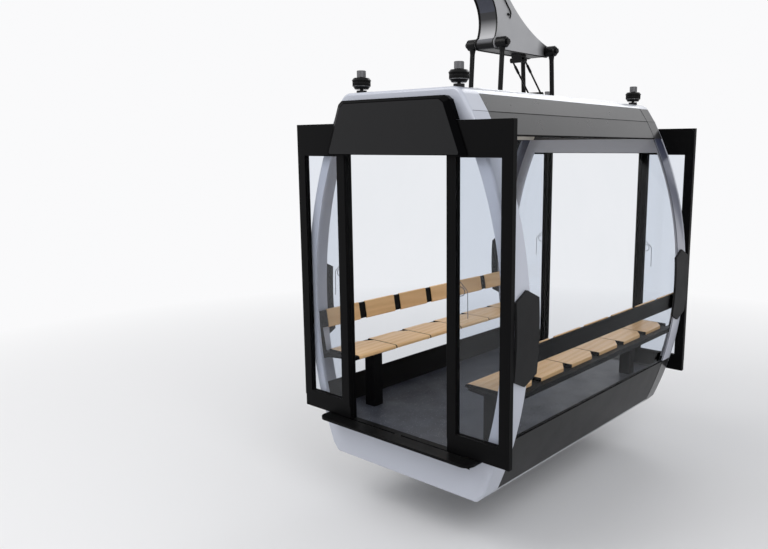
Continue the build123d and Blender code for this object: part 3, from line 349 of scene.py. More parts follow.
def makeFinishes(maker, shared, table):
    # One material for each row of a table, from what the rows share and what each row says.
    for name, row in table.items():
        finishes[name] = maker(name, dict(shared, **row))


def paintMaterial(name, spec):
    # Sprayed metal, moulded plastic or rubber: one colour with clouds, dust on top and a fine skin.
    material, tree, shader, coords = startMaterial(name, spec)
    cloudColour = tuple(value * spec["cloudTone"] for value in spec["colour"][:3]) + (1.0,)
    body = mixColour(tree, clouds(tree, coords, spec["cloudScale"]), spec["colour"], cloudColour)
    normal = tree.nodes.new("ShaderNodeNewGeometry").outputs["Normal"]
    mask = useGroup(tree, dust, coords, Normal=normal, Amount=spec["dust"])["Mask"]
    dressSurface(tree, shader, coords, spec, mixColour(tree, mask, body, spec["dustColour"]))
    return material


paintShared = {"coatRough": 0.08, "cloudTone": 0.85, "cloudScale": 2.0, "roughScale": 6.0, "dust": 0.02,
               "dustColour": colour(150, 148, 142), "gritScale": 300.0, "bumpDepth": 0.0006}
paints = {
    "roofPaint": {"colour": colour(202, 205, 212), "cloudTone": 0.97, "shine": 0.5, "coat": 0.35,
                  "rough": (0.28, 0.34), "dust": 0.03, "bump": 0.015},
    "silverPaint": {"colour": colour(184, 188, 199), "cloudTone": 0.96, "shine": 0.5, "coat": 0.35,
                    "rough": (0.28, 0.34), "dust": 0.03, "bump": 0.015},
    "rimPaint": {"colour": colour(196, 199, 205), "cloudTone": 0.96, "shine": 0.5, "coat": 0.3,
                 "rough": (0.3, 0.38), "dust": 0.05, "bump": 0.02},
    "upperPanel": {"colour": colour(56, 56, 57), "cloudTone": 0.95, "shine": 0.45, "coat": 0.3,
                   "rough": (0.27, 0.3), "bump": 0.008},
    "lowerPanel": {"colour": colour(41, 41, 42), "cloudTone": 0.94, "shine": 0.14,
                   "rough": (0.38, 0.43), "dust": 0.03, "bump": 0.01},
    "blackFrame": {"colour": colour(10, 10, 11), "shine": 0.05,
                   "rough": (0.36, 0.44), "dust": 0.01, "bump": 0.03},
    "blackGloss": {"colour": colour(4, 4, 5), "shine": 0.02, "rough": (0.16, 0.22), "dust": 0.003, "bump": 0.01},
    "blackBench": {"colour": colour(9, 9, 10), "shine": 0.08, "rough": (0.46, 0.54), "bump": 0.05},
    "displayFace": {"colour": colour(35, 35, 36), "cloudTone": 0.95, "shine": 0.08,
                    "rough": (0.28, 0.34), "dust": 0.005, "bump": 0.01},
    "linerPlastic": {"colour": colour(236, 231, 220), "cloudTone": 0.96, "shine": 0.2,
                     "rough": (0.5, 0.6), "dust": 0.0, "bump": 0.06, "gritScale": 220.0},
    "rubPadRubber": {"colour": colour(38, 38, 39), "cloudTone": 0.88, "shine": 0.08,
                     "rough": (0.5, 0.6), "bump": 0.08, "gritScale": 260.0},
    "rollerRubber": {"colour": colour(8, 8, 9), "cloudTone": 0.8, "shine": 0.12,
                     "rough": (0.2, 0.27), "bump": 0.06},
    "postPaint": {"colour": colour(9, 9, 10), "cloudTone": 0.8, "shine": 0.14,
                  "rough": (0.24, 0.32), "dust": 0.012, "bump": 0.03},
    "gasketRubber": {"colour": colour(9, 9, 10), "cloudTone": 0.8, "shine": 0.06,
                     "rough": (0.55, 0.68), "dust": 0.0, "bump": 0.05},
    "sealGrey": {"colour": colour(112, 115, 121), "cloudTone": 0.94, "shine": 0.15,
                 "rough": (0.5, 0.62), "dust": 0.0, "bump": 0.04},
    "pullMetal": {"colour": colour(92, 93, 96), "metal": 0.6, "shine": 0.4,
                  "cloudScale": 20.0, "rough": (0.3, 0.42), "dust": 0.0, "bump": 0.03},
}
makeFinishes(paintMaterial, paintShared, paints)


def metalMaterial(name, spec):
    # Bare rolled, drawn or turned metal with faint stains.
    material, tree, shader, coords = startMaterial(name, spec)
    lines = brushLines(tree, coords, spec)
    stained = mixColour(tree, clouds(tree, coords, spec["stainScale"]), spec["colour"], spec["stain"])
    feed(tree, shader, {"Base Color": stained, "Roughness": lines["Value"]})
    bump(tree, shader, lines["Height"], spec)
    return material


metalShared = {"metal": 1.0, "stainScale": 5.0, "bumpDepth": 0.0004}
metals = {
    "tubeSteel": {"colour": colour(84, 85, 90), "stain": colour(66, 67, 72), "rough": (0.22, 0.32),
                  "stretch": (3.0, 260.0, 260.0), "bump": 0.06},
    "rodSteel": {"colour": colour(44, 45, 47), "stain": colour(30, 31, 33), "rough": (0.3, 0.42),
                 "stretch": (260.0, 8.0, 8.0), "bump": 0.05},
    "sheetAlloy": {"colour": colour(160, 162, 165), "stain": colour(132, 134, 138), "rough": (0.36, 0.52),
                   "stretch": (260.0, 2.5, 260.0), "bump": 0.07},
    "boltSteel": {"colour": colour(140, 141, 143), "stain": colour(100, 101, 104), "rough": (0.3, 0.46),
                  "stretch": (80.0, 80.0, 300.0), "bump": 0.05},
}
makeFinishes(metalMaterial, metalShared, metals)


def zincMaterial(name, spec):
    # Cast and forged steel dipped in zinc, darker where grease and rope wear have gathered.
    material, tree, shader, coords = startMaterial(name, spec)
    patches = useGroup(tree, spangle, coords, Scale=spec["patchScale"])["Value"]
    zinc = mixColour(tree, patches, spec["pale"], spec["dull"])
    grime = clouds(tree, coords, spec["grimeScale"], 0.0, spec["grime"])
    feed(tree, shader, {"Base Color": mixColour(tree, grime, zinc, spec["grimeColour"]),
                        "Roughness": mapRange(tree, patches, 0.0, 1.0, *spec["rough"])})
    skin(tree, shader, coords, spec)
    return material


zincShared = {"metal": 0.75, "shine": 0.4, "gritScale": 160.0, "bumpDepth": 0.0005}
zincs = {
    "galvanised": {"pale": colour(143, 146, 149), "dull": colour(124, 127, 131), "patchScale": 115.0,
                   "rough": (0.36, 0.48), "bump": 0.16,
                   "grime": 0.55, "grimeScale": 9.0, "grimeColour": colour(62, 60, 57)},
    "leverSteel": {"pale": colour(122, 124, 126), "dull": colour(106, 108, 110), "patchScale": 130.0,
                   "rough": (0.34, 0.46), "bump": 0.14,
                   "grime": 0.6, "grimeScale": 12.0, "grimeColour": colour(50, 48, 46)},
    "wornPlate": {"pale": colour(114, 114, 115), "dull": colour(106, 106, 107), "patchScale": 160.0,
                  "rough": (0.28, 0.36), "bump": 0.06,
                  "grime": 0.7, "grimeScale": 7.0, "grimeColour": colour(58, 56, 54)},
}
makeFinishes(zincMaterial, zincShared, zincs)


def glassMaterial(name, spec):
    # Clear sheet. Rays from lamps and from the room pass straight through, so that what is inside stays lit.
    material, tree, shader, coords = startMaterial(name, spec)
    film = clouds(tree, coords, spec["filmScale"])
    feed(tree, shader, {"Base Color": mixColour(tree, film, spec["tint"], spec["otherTint"]),
                        "Roughness": clouds(tree, coords, spec["hazeScale"], 0.0, spec["haze"])})
    light = tree.nodes.new("ShaderNodeLightPath").outputs
    passes = mathNode(tree, "MAXIMUM", light["Is Shadow Ray"], light["Is Diffuse Ray"])
    clear = addNode(tree, "ShaderNodeBsdfTransparent", {"Color": spec["passing"]})
    mixShaders(tree, passes, shader, clear)
    return material


glassShared = {"clearness": 1.0, "filmScale": 1.6, "hazeScale": 4.0, "passing": (0.96, 0.96, 0.965, 1.0)}
glasses = {
    "sideGlass": {"tint": (0.87, 0.885, 0.91, 1.0), "otherTint": (0.85, 0.87, 0.895, 1.0),
                  "bend": 1.055, "haze": 0.012},
    "doorGlass": {"tint": (0.81, 0.84, 0.89, 1.0), "otherTint": (0.79, 0.825, 0.88, 1.0),
                  "bend": 1.28, "haze": 0.01},
    "cornerGlass": {"tint": (0.92, 0.935, 0.95, 1.0), "otherTint": (0.91, 0.925, 0.945, 1.0),
                    "bend": 1.06, "haze": 0.008},
}
makeFinishes(glassMaterial, glassShared, glasses)


def woodMaterial(name, spec):
    material, tree, shader, coords = startMaterial(name, spec)
    grain = useGroup(tree, woodGrain, coords, Pale=spec["pale"], Dark=spec["dark"], Pitch=spec["pitch"])
    feed(tree, shader, {"Base Color": grain["Color"], "Roughness": grain["Roughness"]})
    bump(tree, shader, grain["Height"], spec)
    return material


seatWood = {"pale": colour(233, 194, 143), "dark": colour(200, 156, 104), "pitch": 0.424, "shine": 0.4,
            "coat": 0.08, "coatRough": 0.22, "bump": 0.12, "bumpDepth": 0.0004}
finishes["seatWood"] = woodMaterial("seatWood", seatWood)


def floorMaterial(name, spec):
    material, tree, shader, coords = startMaterial(name, spec)
    chips = useGroup(tree, flecks, coords, Scale=spec["scale"], Base=spec["base"], Fleck=spec["fleck"])
    feed(tree, shader, {"Base Color": chips["Color"],
                        "Roughness": clouds(tree, coords, spec["roughScale"], *spec["rough"])})
    bump(tree, shader, chips["Height"], spec)
    return material


floorSheet = {"scale": 125.0, "base": colour(41, 44, 52), "fleck": colour(150, 155, 168), "shine": 0.35,
              "roughScale": 3.0, "rough": (0.42, 0.56), "bump": 0.02, "bumpDepth": 0.0005}
finishes["floorSheet"] = floorMaterial("floorSheet", floorSheet)


def armMaterial(name, spec):
    # The hanger: pale side plates with dark edges, a dark web with a painted reflection at its foot, a painted
    # highlight on the foot over the tube, black below the tube and painted shadow round the rear boss.
    material, tree, shader, coords = startMaterial(name, spec)
    place = separate(tree, coords)
    height = place["Z"]
    across = mathNode(tree, "ABSOLUTE", place["X"])
    onPlate = above(tree, across, spec["plateFace"])
    onEdge = above(tree, across, spec["webEnd"])
    # Painted reflection: the web is pale at its foot and fades to its own dark colour higher up.
    fade = mapRange(tree, height, spec["fadeFrom"], spec["fadeTo"])
    web = mixColour(tree, fade, spec["webPaintedReflection"], spec["webLow"])
    upper = above(tree, height, spec["stepAt"])
    web = mixColour(tree, upper, web, spec["webHigh"])
    # Painted highlight: the foot over the tube goes from dark at its bottom to a light band at its top.
    foot = mapRange(tree, height, spec["footFrom"], spec["footTop"])
    onFoot = below(tree, height, spec["footTop"])
    web = mixColour(tree, onFoot, web, mixColour(tree, foot, spec["edge"], spec["footPaintedHighlight"]))
    shade = mixColour(tree, onEdge, web, spec["edge"])
    plate = mixColour(tree, clouds(tree, coords, spec["cloudScale"]), spec["plate"], spec["plateCloud"])
    # Painted shadow: the plate darkens to black round the rear boss.
    flat = addNode(tree, "ShaderNodeCombineXYZ", {"Y": place["Y"], "Z": height}).outputs[0]
    fromBoss = vectorNode(tree, "DISTANCE", flat, spec["bossCentre"], "Value")
    bossPaintedShadow = mapRange(tree, fromBoss, spec["bossInner"], spec["bossOuter"], 1.0, 0.0)
    plate = mixColour(tree, bossPaintedShadow, plate, spec["edge"])
    onHead = above(tree, height, spec["headFrom"])
    body = mixColour(tree, mathNode(tree, "MAXIMUM", onPlate, onHead), shade, plate)
    underTube = below(tree, height, spec["lugTop"])
    dressSurface(tree, shader, coords, spec, mixColour(tree, underTube, body, spec["edge"]))
    return material


hangerArm = {
    "plateFace": 0.0897, "webEnd": 0.071, "fadeFrom": 2.85 + sillHeight, "fadeTo": 3.0 + sillHeight,
    "stepAt": 3.05 + sillHeight, "headFrom": 4.576 + sillHeight, "lugTop": 2.781 + sillHeight,
    "footFrom": 2.812 + sillHeight, "footTop": 2.853 + sillHeight, "footPaintedHighlight": colour(112, 113, 118),
    "bossCentre": (0.0, 0.362, 2.82 + sillHeight), "bossInner": 0.045, "bossOuter": 0.15,
    "plate": colour(174, 174, 175), "plateCloud": colour(166, 166, 168), "edge": colour(9, 9, 10),
    "webPaintedReflection": colour(188, 188, 190), "webLow": colour(54, 54, 56), "webHigh": colour(66, 68, 77),
    "shine": 0.2, "cloudScale": 3.0, "roughScale": 7.0, "rough": (0.36, 0.44),
    "gritScale": 260.0, "bump": 0.025, "bumpDepth": 0.0005,
}
finishes["hangerPaint"] = armMaterial("hangerPaint", hangerArm)


def turnedMaterial(name, spec):
    # A roller: rubber tread outside a radius and metal inside, told by the distance from its axis along Y.
    material, tree, shader, coords = startMaterial(name, spec)
    place = separate(tree, coords)
    across = mathNode(tree, "SUBTRACT", place["X"], spec["axisX"])
    rise = mathNode(tree, "SUBTRACT", place["Z"], spec["axisZ"])
    squares = [times(tree, length, length) for length in (across, rise)]
    radius = mathNode(tree, "SQRT", mathNode(tree, "ADD", *squares))
    tread = above(tree, radius, spec["treadFrom"])
    hub = mixColour(tree, clouds(tree, coords, spec["cloudScale"]), spec["hub"], spec["hubCloud"])
    feed(tree, shader, {"Base Color": mixColour(tree, tread, hub, spec["rubber"]),
                        "Metallic": mapRange(tree, tread, 0.0, 1.0, spec["hubMetal"], 0.0),
                        "Roughness": mapRange(tree, tread, 0.0, 1.0, spec["hubRough"], spec["treadRough"])})
    skin(tree, shader, coords, spec, spec["coarse"])
    return material


turnedShared = {
    "treadFrom": 0.0745, "hub": colour(120, 122, 126), "hubCloud": colour(92, 94, 98), "cloudScale": 30.0,
    "rubber": colour(15, 15, 16), "shine": 0.15, "hubMetal": 0.85, "hubRough": 0.38, "treadRough": 0.62,
    "gritScale": 350.0, "coarse": 0.6, "bump": 0.12, "bumpDepth": 0.0004,
}
turned = {
    "wheelUp": {"axisX": 0.19, "axisZ": 0.125},
    "wheelDown": {"axisX": -0.19, "axisZ": 0.125},
    "leverRoller": {"axisX": 0.0, "axisZ": 0.25, "treadFrom": 0.0295},
}
makeFinishes(turnedMaterial, turnedShared, turned)


def ringMaterial(name, spec):
    # The rear ring: silver outside, a band next to the glass with painted light and shade, pale at the glass foot
    # and dark at its top, and the panels' dark colour above and below it.
    material, tree, shader, coords = startMaterial(name, spec)
    place = separate(tree, coords)
    offGlass = (below(tree, place["Z"], spec["glassFoot"]), above(tree, place["Z"], spec["glassTop"]))
    dark = mathNode(tree, "MAXIMUM", *offGlass)
    bandEnd = mapRange(tree, dark, 0.0, 1.0, spec["bandEnd"], spec["darkEnd"])
    inner = below(tree, place["Y"], bandEnd)
    onSide = below(tree, place["Z"], spec["panelTop"])
    # Painted light and shade: the band goes from pale at the glass foot to dark at the glass top.
    fade = mapRange(tree, place["Z"], spec["glassFoot"], spec["glassTop"])
    band = mixColour(tree, dark, mixColour(tree, fade, spec["bandPaintedLight"], spec["bandPaintedShade"]), spec["dark"])
    silver = mixColour(tree, clouds(tree, coords, spec["cloudScale"]), spec["silver"], spec["silverCloud"])
    dressSurface(tree, shader, coords, spec, mixColour(tree, times(tree, inner, onSide), silver, band))
    return material


underPanelTop = 0.002  # the dark colour stops this far under the top of the upper panel
rearRing = {
    "bandEnd": 1.325, "darkEnd": 1.346, "glassFoot": 0.105 + sillHeight, "glassTop": 2.11 + sillHeight,
    "panelTop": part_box("upper_panel_right")[1].z - underPanelTop,
    "silver": colour(192, 195, 204), "silverCloud": colour(186, 190, 199), "dark": colour(44, 44, 45),
    "bandPaintedLight": colour(206, 208, 219), "bandPaintedShade": colour(52, 56, 76),
    "shine": 0.5, "coat": 0.3, "coatRough": 0.1, "cloudScale": 2.0, "roughScale": 6.0, "rough": (0.28, 0.34),
    "gritScale": 300.0, "bump": 0.015, "bumpDepth": 0.0005,
}
finishes["rearRing"] = ringMaterial("rearRing", rearRing)


def twoTone(name, spec):
    # The axle of a roof roller: a black foot disc under the roller and a bare metal cap on it.
    material, tree, shader, coords = startMaterial(name, spec)
    isCap = above(tree, separate(tree, coords)["Z"], spec["capFrom"])
    lines = brushLines(tree, coords, spec)
    cap = mixColour(tree, lines["Value"], spec["cap"], spec["capStain"])
    feed(tree, shader, {"Base Color": mixColour(tree, isCap, spec["disc"], cap),
                        "Metallic": times(tree, isCap, spec["capMetal"]),
                        "Roughness": lines["Value"]})
    bump(tree, shader, lines["Height"], spec)
    return material


rollerAxle = {
    "capFrom": 2.515 + sillHeight, "cap": colour(112, 112, 114), "capStain": colour(78, 78, 80),
    "capMetal": 0.8, "disc": colour(11, 11, 12), "shine": 0.2,
    "stretch": (60.0, 60.0, 900.0), "rough": (0.3, 0.45), "bump": 0.05, "bumpDepth": 0.0003,
}
finishes["axleTwoTone"] = twoTone("axleTwoTone", rollerAxle)


# Which finish each node of the part gets
corners = ("front_right", "front_left", "rear_left", "rear_right")
nodeFinishes = {
    "roofPaint": ["roof"],
    "silverPaint": ["end_ring_front"],
    "rearRing": ["end_ring_rear"],
    "rimPaint": ["bottom_rims"],
    "upperPanel": ["upper_panel_right", "upper_panel_left"],
    "lowerPanel": ["lower_panel_right", "lower_panel_left"],
    "linerPlastic": ["ceiling_liner"],
    "sideGlass": ["side_glass_right", "side_glass_left"],
    "cornerGlass": ["end_panes"],
    "blackFrame": ["door_jambs", "door_sills", "kick_walls"] + ["leaf_frame_" + corner for corner in corners],
    "doorGlass": ["leaf_glass_" + corner for corner in corners],
    "blackBench": ["bench_frame_right", "bench_frame_left"],
    "blackGloss": ["header_housing_front", "header_housing_rear"],
    "displayFace": ["header_screens"],
    "floorSheet": ["floor_mat"],
    "sheetAlloy": ["floor_pan", "floor_beams", "floor_ribs"],
    "seatWood": ["seat_pads", "back_pads"],
    "rubPadRubber": ["rub_pads"],
    "rollerRubber": ["guide_roller_" + corner for corner in corners],
    "axleTwoTone": ["roller_axles"],
    "postPaint": ["hanger_posts", "stay_bracket", "stay_rods"],
    "tubeSteel": ["cross_tubes"],
    "rodSteel": ["door_rods"],
    "hangerPaint": ["hanger_arm"],
    "galvanised": ["grip_body"],
    "leverSteel": ["jaw_lever"],
    "wornPlate": ["drive_plate"],
    "wheelUp": ["running_wheel_up"],
    "wheelDown": ["running_wheel_down"],
    "leverRoller": ["lever_roller"],
}
for finish, names in nodeFinishes.items():
    for nodeName in names:
        nodeMaterials = nodes[nodeName].data.materials
        nodeMaterials.clear()
        nodeMaterials.append(finishes[finish])
plainLeft = [name for name, node in nodes.items() if not node.data.materials or node.data.materials[0] is None]
print("finishes given; nodes left plain:", plainLeft)


# Pieces made by geometry nodes: strips along edges, bolt heads at points and ribs round a roller
def startTree(name, inputs):
    return newGroup(name, {"Geometry": "Geometry", **inputs, "Material": "Material"},
                    {"Geometry": "Geometry"}, "GeometryNodeTree")


def endTree(tree, geometry, given, result):
    real = addNode(tree, "GeometryNodeRealizeInstances", {"Geometry": geometry}).outputs["Geometry"]
    dressed = addNode(tree, "GeometryNodeSetMaterial", {"Geometry": real, "Material": given["Material"]})
    feed(tree, result, {"Geometry": dressed.outputs["Geometry"]})


def makeStripTree(bendSteps):
    # A round strip along each line of the base mesh, its corners eased.
    tree, given, result = startTree("stripAlongLines", {"Radius": "Float", "Sides": "Int", "Bend": "Float"})
    lines = addNode(tree, "GeometryNodeMeshToCurve", {"Mesh": given["Geometry"]}).outputs["Curve"]
    eased = addNode(tree, "GeometryNodeFilletCurve", {
        "Curve": lines, "Count": bendSteps, "Radius": given["Bend"], "Limit Radius": True},
        mode="POLY").outputs["Curve"]
    rim = addNode(tree, "GeometryNodeCurvePrimitiveCircle", {
        "Resolution": given["Sides"], "Radius": given["Radius"]}).outputs["Curve"]
    strip = addNode(tree, "GeometryNodeCurveToMesh", {"Curve": eased, "Profile Curve": rim, "Fill Caps": True})
    endTree(tree, strip.outputs["Mesh"], given, result)
    return tree


def makeBoltTree(shape):
    # A washer and a head with a bevelled top at each point, turned to the point's facing.
    tree, given, result = startTree("boltsAtPoints", {
        "Head Sides": "Int", "Head Radius": "Float", "Head Height": "Float",
        "Washer Radius": "Float", "Washer Height": "Float"})

    def ring(sides, low, high, depth, foot):
        cone = addNode(tree, "GeometryNodeMeshCone", {
            "Vertices": sides, "Radius Bottom": low, "Radius Top": high, "Depth": depth}).outputs["Mesh"]
        lift = addNode(tree, "ShaderNodeCombineXYZ", {"Z": foot}).outputs["Vector"]
        return addNode(tree, "GeometryNodeTransform", {"Geometry": cone, "Translation": lift}).outputs["Geometry"]

    sides, radius, height = given["Head Sides"], given["Head Radius"], given["Head Height"]
    washer = ring(shape["washerSides"], given["Washer Radius"], given["Washer Radius"], given["Washer Height"], 0.0)
    head = ring(sides, radius, radius, height, given["Washer Height"])
    headTop = mathNode(tree, "ADD", given["Washer Height"], height)
    bevel = ring(sides, radius, times(tree, radius, shape["topShare"]),
                 times(tree, radius, shape["bevelShare"]), headTop)
    joined = tree.nodes.new("GeometryNodeJoinGeometry")
    for part in (washer, head, bevel):
        feed(tree, joined, {"Geometry": part})
    facing = addNode(tree, "GeometryNodeInputNamedAttribute", {"Name": "facing"}, data_type="FLOAT_VECTOR")
    turn = addNode(tree, "FunctionNodeAlignRotationToVector", {"Vector": facing.outputs["Attribute"]}, axis="Z")
    placed = addNode(tree, "GeometryNodeInstanceOnPoints", {
        "Points": given["Geometry"], "Instance": joined.outputs["Geometry"], "Rotation": turn.outputs["Rotation"]})
    endTree(tree, placed.outputs["Instances"], given, result)
    return tree


def makeRibTree(ribSides):
    # Upright round ribs in a circle round each point.
    tree, given, result = startTree("ribsRoundPoints", {
        "Count": "Int", "Circle": "Float", "Rib Radius": "Float", "Rib Height": "Float"})
    circle = addNode(tree, "GeometryNodeMeshCircle", {"Vertices": given["Count"], "Radius": given["Circle"]})
    rib = addNode(tree, "GeometryNodeMeshCylinder", {
        "Vertices": ribSides, "Radius": given["Rib Radius"], "Depth": given["Rib Height"]})
    ribs = addNode(tree, "GeometryNodeInstanceOnPoints", {
        "Points": circle.outputs["Mesh"], "Instance": rib.outputs["Mesh"]}).outputs["Instances"]
    placed = addNode(tree, "GeometryNodeInstanceOnPoints", {"Points": given["Geometry"], "Instance": ribs})
    endTree(tree, placed.outputs["Instances"], given, result)
    return tree


stripTree = makeStripTree(bendSteps=3)
boltTree = makeBoltTree({"washerSides": 20, "topShare": 0.84, "bevelShare": 0.12})
ribTree = makeRibTree(ribSides=8)


def linesObject(name, lines):
    # A mesh of bare edges from (points, closed) pairs.
    points, edges = [], []
    for path, closed in lines:
        start = len(points)
        points += path
        edges += [(start + step, start + step + 1) for step in range(len(path) - 1)]
        if closed:
            edges.append((len(points) - 1, start))
    mesh = bpy.data.meshes.new(name)
    mesh.from_pydata(points, edges, [])
    return addObject(name, mesh)


def pointsObject(name, places):
    # A mesh of bare points, each with the way that what stands there faces.
    mesh = bpy.data.meshes.new(name)
    mesh.from_pydata([place for place, facing in places], [], [])
    attribute = mesh.attributes.new("facing", "FLOAT_VECTOR", "POINT")
    for item, (place, facing) in zip(attribute.data, places):
        item.vector = facing
    return addObject(name, mesh)


sameSpot = 0.00001  # points of a finished mesh that are this near become one


def addPiece(name, mesh, body, merge=False, smooth=False):
    # Turns the faces outward and makes the mesh a piece that rides on the body. The ends of strips stay flat.
    mesh.name = name
    shape = bmesh.new()
    shape.from_mesh(mesh)
    if merge:
        bmesh.ops.remove_doubles(shape, verts=shape.verts, dist=sameSpot)
    bmesh.ops.recalc_face_normals(shape, faces=shape.faces)
    for face in shape.faces:
        face.smooth = smooth and len(face.verts) == 4
    shape.to_mesh(mesh)
    shape.free()
    piece = addObject(name, mesh)
    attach(piece, body)


def grow(name, base, tree, values, finish, body, smooth=False):
    # Runs the tree on the base object and keeps its result as a plain mesh.
    modifier = base.modifiers.new("grow", "NODES")
    modifier.node_group = tree
    wanted = dict(values, Material=finishes[finish])
    for item in tree.interface.items_tree:
        if item.item_type == "SOCKET" and item.in_out == "INPUT" and item.name in wanted:
            modifier[item.identifier] = wanted[item.name]
    bpy.context.view_layer.update()
    mesh = bpy.data.meshes.new_from_object(base.evaluated_get(bpy.context.evaluated_depsgraph_get()))
    bpy.data.objects.remove(base)
    addPiece(name, mesh, body, merge=True, smooth=smooth)


def strips(name, lines, radius, finish, body, sides=8, bend=0.0):
    grow(name, linesObject(name, lines), stripTree, {"Radius": radius, "Sides": sides, "Bend": bend},
         finish, body, smooth=True)


def pair(centre, reach):
    return (centre - reach, centre + reach)


# Places on the cabin's body, in metres
shell = {"halfWidth": 0.987, "bend": 2.9, "bendMiddle": 0.87, "glassFoot": 0.105, "glassTop": 2.11,
         "shoulder": 2.26, "shoulderHalf": 0.632, "ringInner": 1.19, "pathSteps": 28}


def flankX(height, inset=0.0):
    # Half width of the body at a height above the sill.
    radius = shell["bend"] - inset
    return shell["halfWidth"] - shell["bend"] + math.sqrt(radius ** 2 - (height - shell["bendMiddle"]) ** 2)


def flankLine(low, high, along, inset, side):
    # A line up the curved flank at one place along Y.
    steps = shell["pathSteps"]
    heights = [low + (high - low) * step / steps for step in range(steps + 1)]
    return [(side * flankX(height, inset), along, height + sillHeight) for height in heights], False


def levelLine(x, reach, height):
    return [(x, along, height + sillHeight) for along in (-reach, reach)], False


# Rubber and sealant lines round the side glass
glassSeals = {"inset": 0.0042, "jointInset": 0.0072, "jointRadius": 0.007, "edgeRadius": 0.003}


def makeGlassSeals(setup):
    level, upright = [], []
    low, high, reach = shell["glassFoot"], shell["glassTop"], shell["ringInner"]
    for side in (1, -1):
        level += [levelLine(side * flankX(height, setup["jointInset"]), reach, height) for height in (low, high)]
        upright += [flankLine(low, high, along, setup["inset"], side) for along in (-reach, reach)]
    strips("panel_gaskets", level, setup["jointRadius"], "gasketRubber", "cabin")
    strips("glass_seals", upright, setup["edgeRadius"], "sealGrey", "cabin")


# The fine joint line along the shoulder, where the roof's side meets the flank
shoulderJoint = {"radius": 0.0016, "sunk": 0.0005, "reach": 1.352, "sides": 6}


def makeShoulderJoint(setup):
    x = shell["shoulderHalf"] - setup["sunk"]
    lines = [levelLine(side * x, setup["reach"], shell["shoulder"]) for side in (1, -1)]
    strips("shoulder_joints", lines, setup["radius"], "gasketRubber", "cabin", sides=setup["sides"])


def cornerSigns(corner):
    end, side = corner.split("_")
    return (1 if side == "right" else -1, -1 if end == "front" else 1)


# What each door leaf carries: glazing beads, closing lips and a slim pull. Outlines are (x, height) pairs
leafTrim = {
    "middleY": 1.4035, "glass": [(0.559, 0.126), (0.914, 0.126), (0.914, 1.972), (0.559, 1.972)],
    "beadOffset": 0.0055, "beadRadius": 0.0042, "beadBend": 0.008,
    "lip": [(0.4786, -0.008), (0.4786, 2.192)], "lipOffset": 0.0095, "lipRadius": 0.0026,
    "pullY": 1.3948, "pullRadius": 0.0024, "pullBend": 0.03, "pullSides": 10,
    "pull": [(0.556, 1.183), (0.634, 1.112), (0.637, 0.93)],
    "catch": [(0.556, 1.14), (0.611, 1.128), (0.611, 1.082), (0.556, 1.07)],
}


def makeLeafTrim(setup):
    for corner in corners:
        turnX, turnY = cornerSigns(corner)
        body = "leaf_" + corner

        def outline(name, y, closed=False):
            return [(turnX * x, turnY * y, height + sillHeight) for x, height in setup[name]], closed

        beads = [outline("glass", y, closed=True) for y in pair(setup["middleY"], setup["beadOffset"])]
        strips("glazing_beads_" + corner, beads, setup["beadRadius"], "gasketRubber", body, bend=setup["beadBend"])
        lips = [outline("lip", y) for y in pair(setup["middleY"], setup["lipOffset"])]
        strips("closing_lips_" + corner, lips, setup["lipRadius"], "gasketRubber", body)
        pull = [outline(name, setup["pullY"]) for name in ("pull", "catch")]
        strips("leaf_pull_" + corner, pull, setup["pullRadius"], "pullMetal", body,
               sides=setup["pullSides"], bend=setup["pullBend"])


# Ribs on the straight part of each roof roller, and under them a bright wire ring that is a painted highlight along
# the body's lower edge
rollerRibs = {
    "x": 0.451, "y": 1.262, "middle": 2.484, "count": 32, "circle": 0.0628, "radius": 0.0026, "height": 0.035,
    "highlightRingHeight": 2.4655, "highlightRingCircle": 0.0638, "highlightRingRadius": 0.0017, "highlightRingSteps": 40,
}


def makeRollerRibs(setup):
    for corner in corners:
        turnX, turnY = cornerSigns(corner)
        x, y = turnX * setup["x"], turnY * setup["y"]
        place = ((x, y, setup["middle"] + sillHeight), (0.0, 0.0, 1.0))
        grow("roller_ribs_" + corner, pointsObject("roller_ribs", [place]), ribTree,
             {"Count": setup["count"], "Circle": setup["circle"], "Rib Radius": setup["radius"],
              "Rib Height": setup["height"]}, "rollerRubber", "roller_" + corner, smooth=True)
        # The bright wire ring is a painted highlight on the roller's lower edge, not a part of the roller.
        angles = [2 * math.pi * step / setup["highlightRingSteps"] for step in range(setup["highlightRingSteps"])]
        circle = [(x + setup["highlightRingCircle"] * math.cos(angle), y + setup["highlightRingCircle"] * math.sin(angle),
                   setup["highlightRingHeight"] + sillHeight) for angle in angles]
        strips("roller_highlight_ring_" + corner, [(circle, True)], setup["highlightRingRadius"], "boltSteel", "roller_" + corner)


# The hand release on the hanger's side plate, a bent rod with a ball end
releaseRod = {
    "plateX": 0.09, "standOff": 0.0085, "radius": 0.0055, "bend": 0.03, "sides": 12,
    "path": [(-0.338, 3.218), (-0.264, 3.143), (-0.179, 3.063), (-0.193, 3.018)],
    "side": [(-0.187, 3.045), (-0.218, 3.044)], "ballRadius": 0.010,
    "eyeRadius": 0.015, "eyeRim": 0.004, "eyeTop": 0.007, "eyeTopShare": 0.8,
}


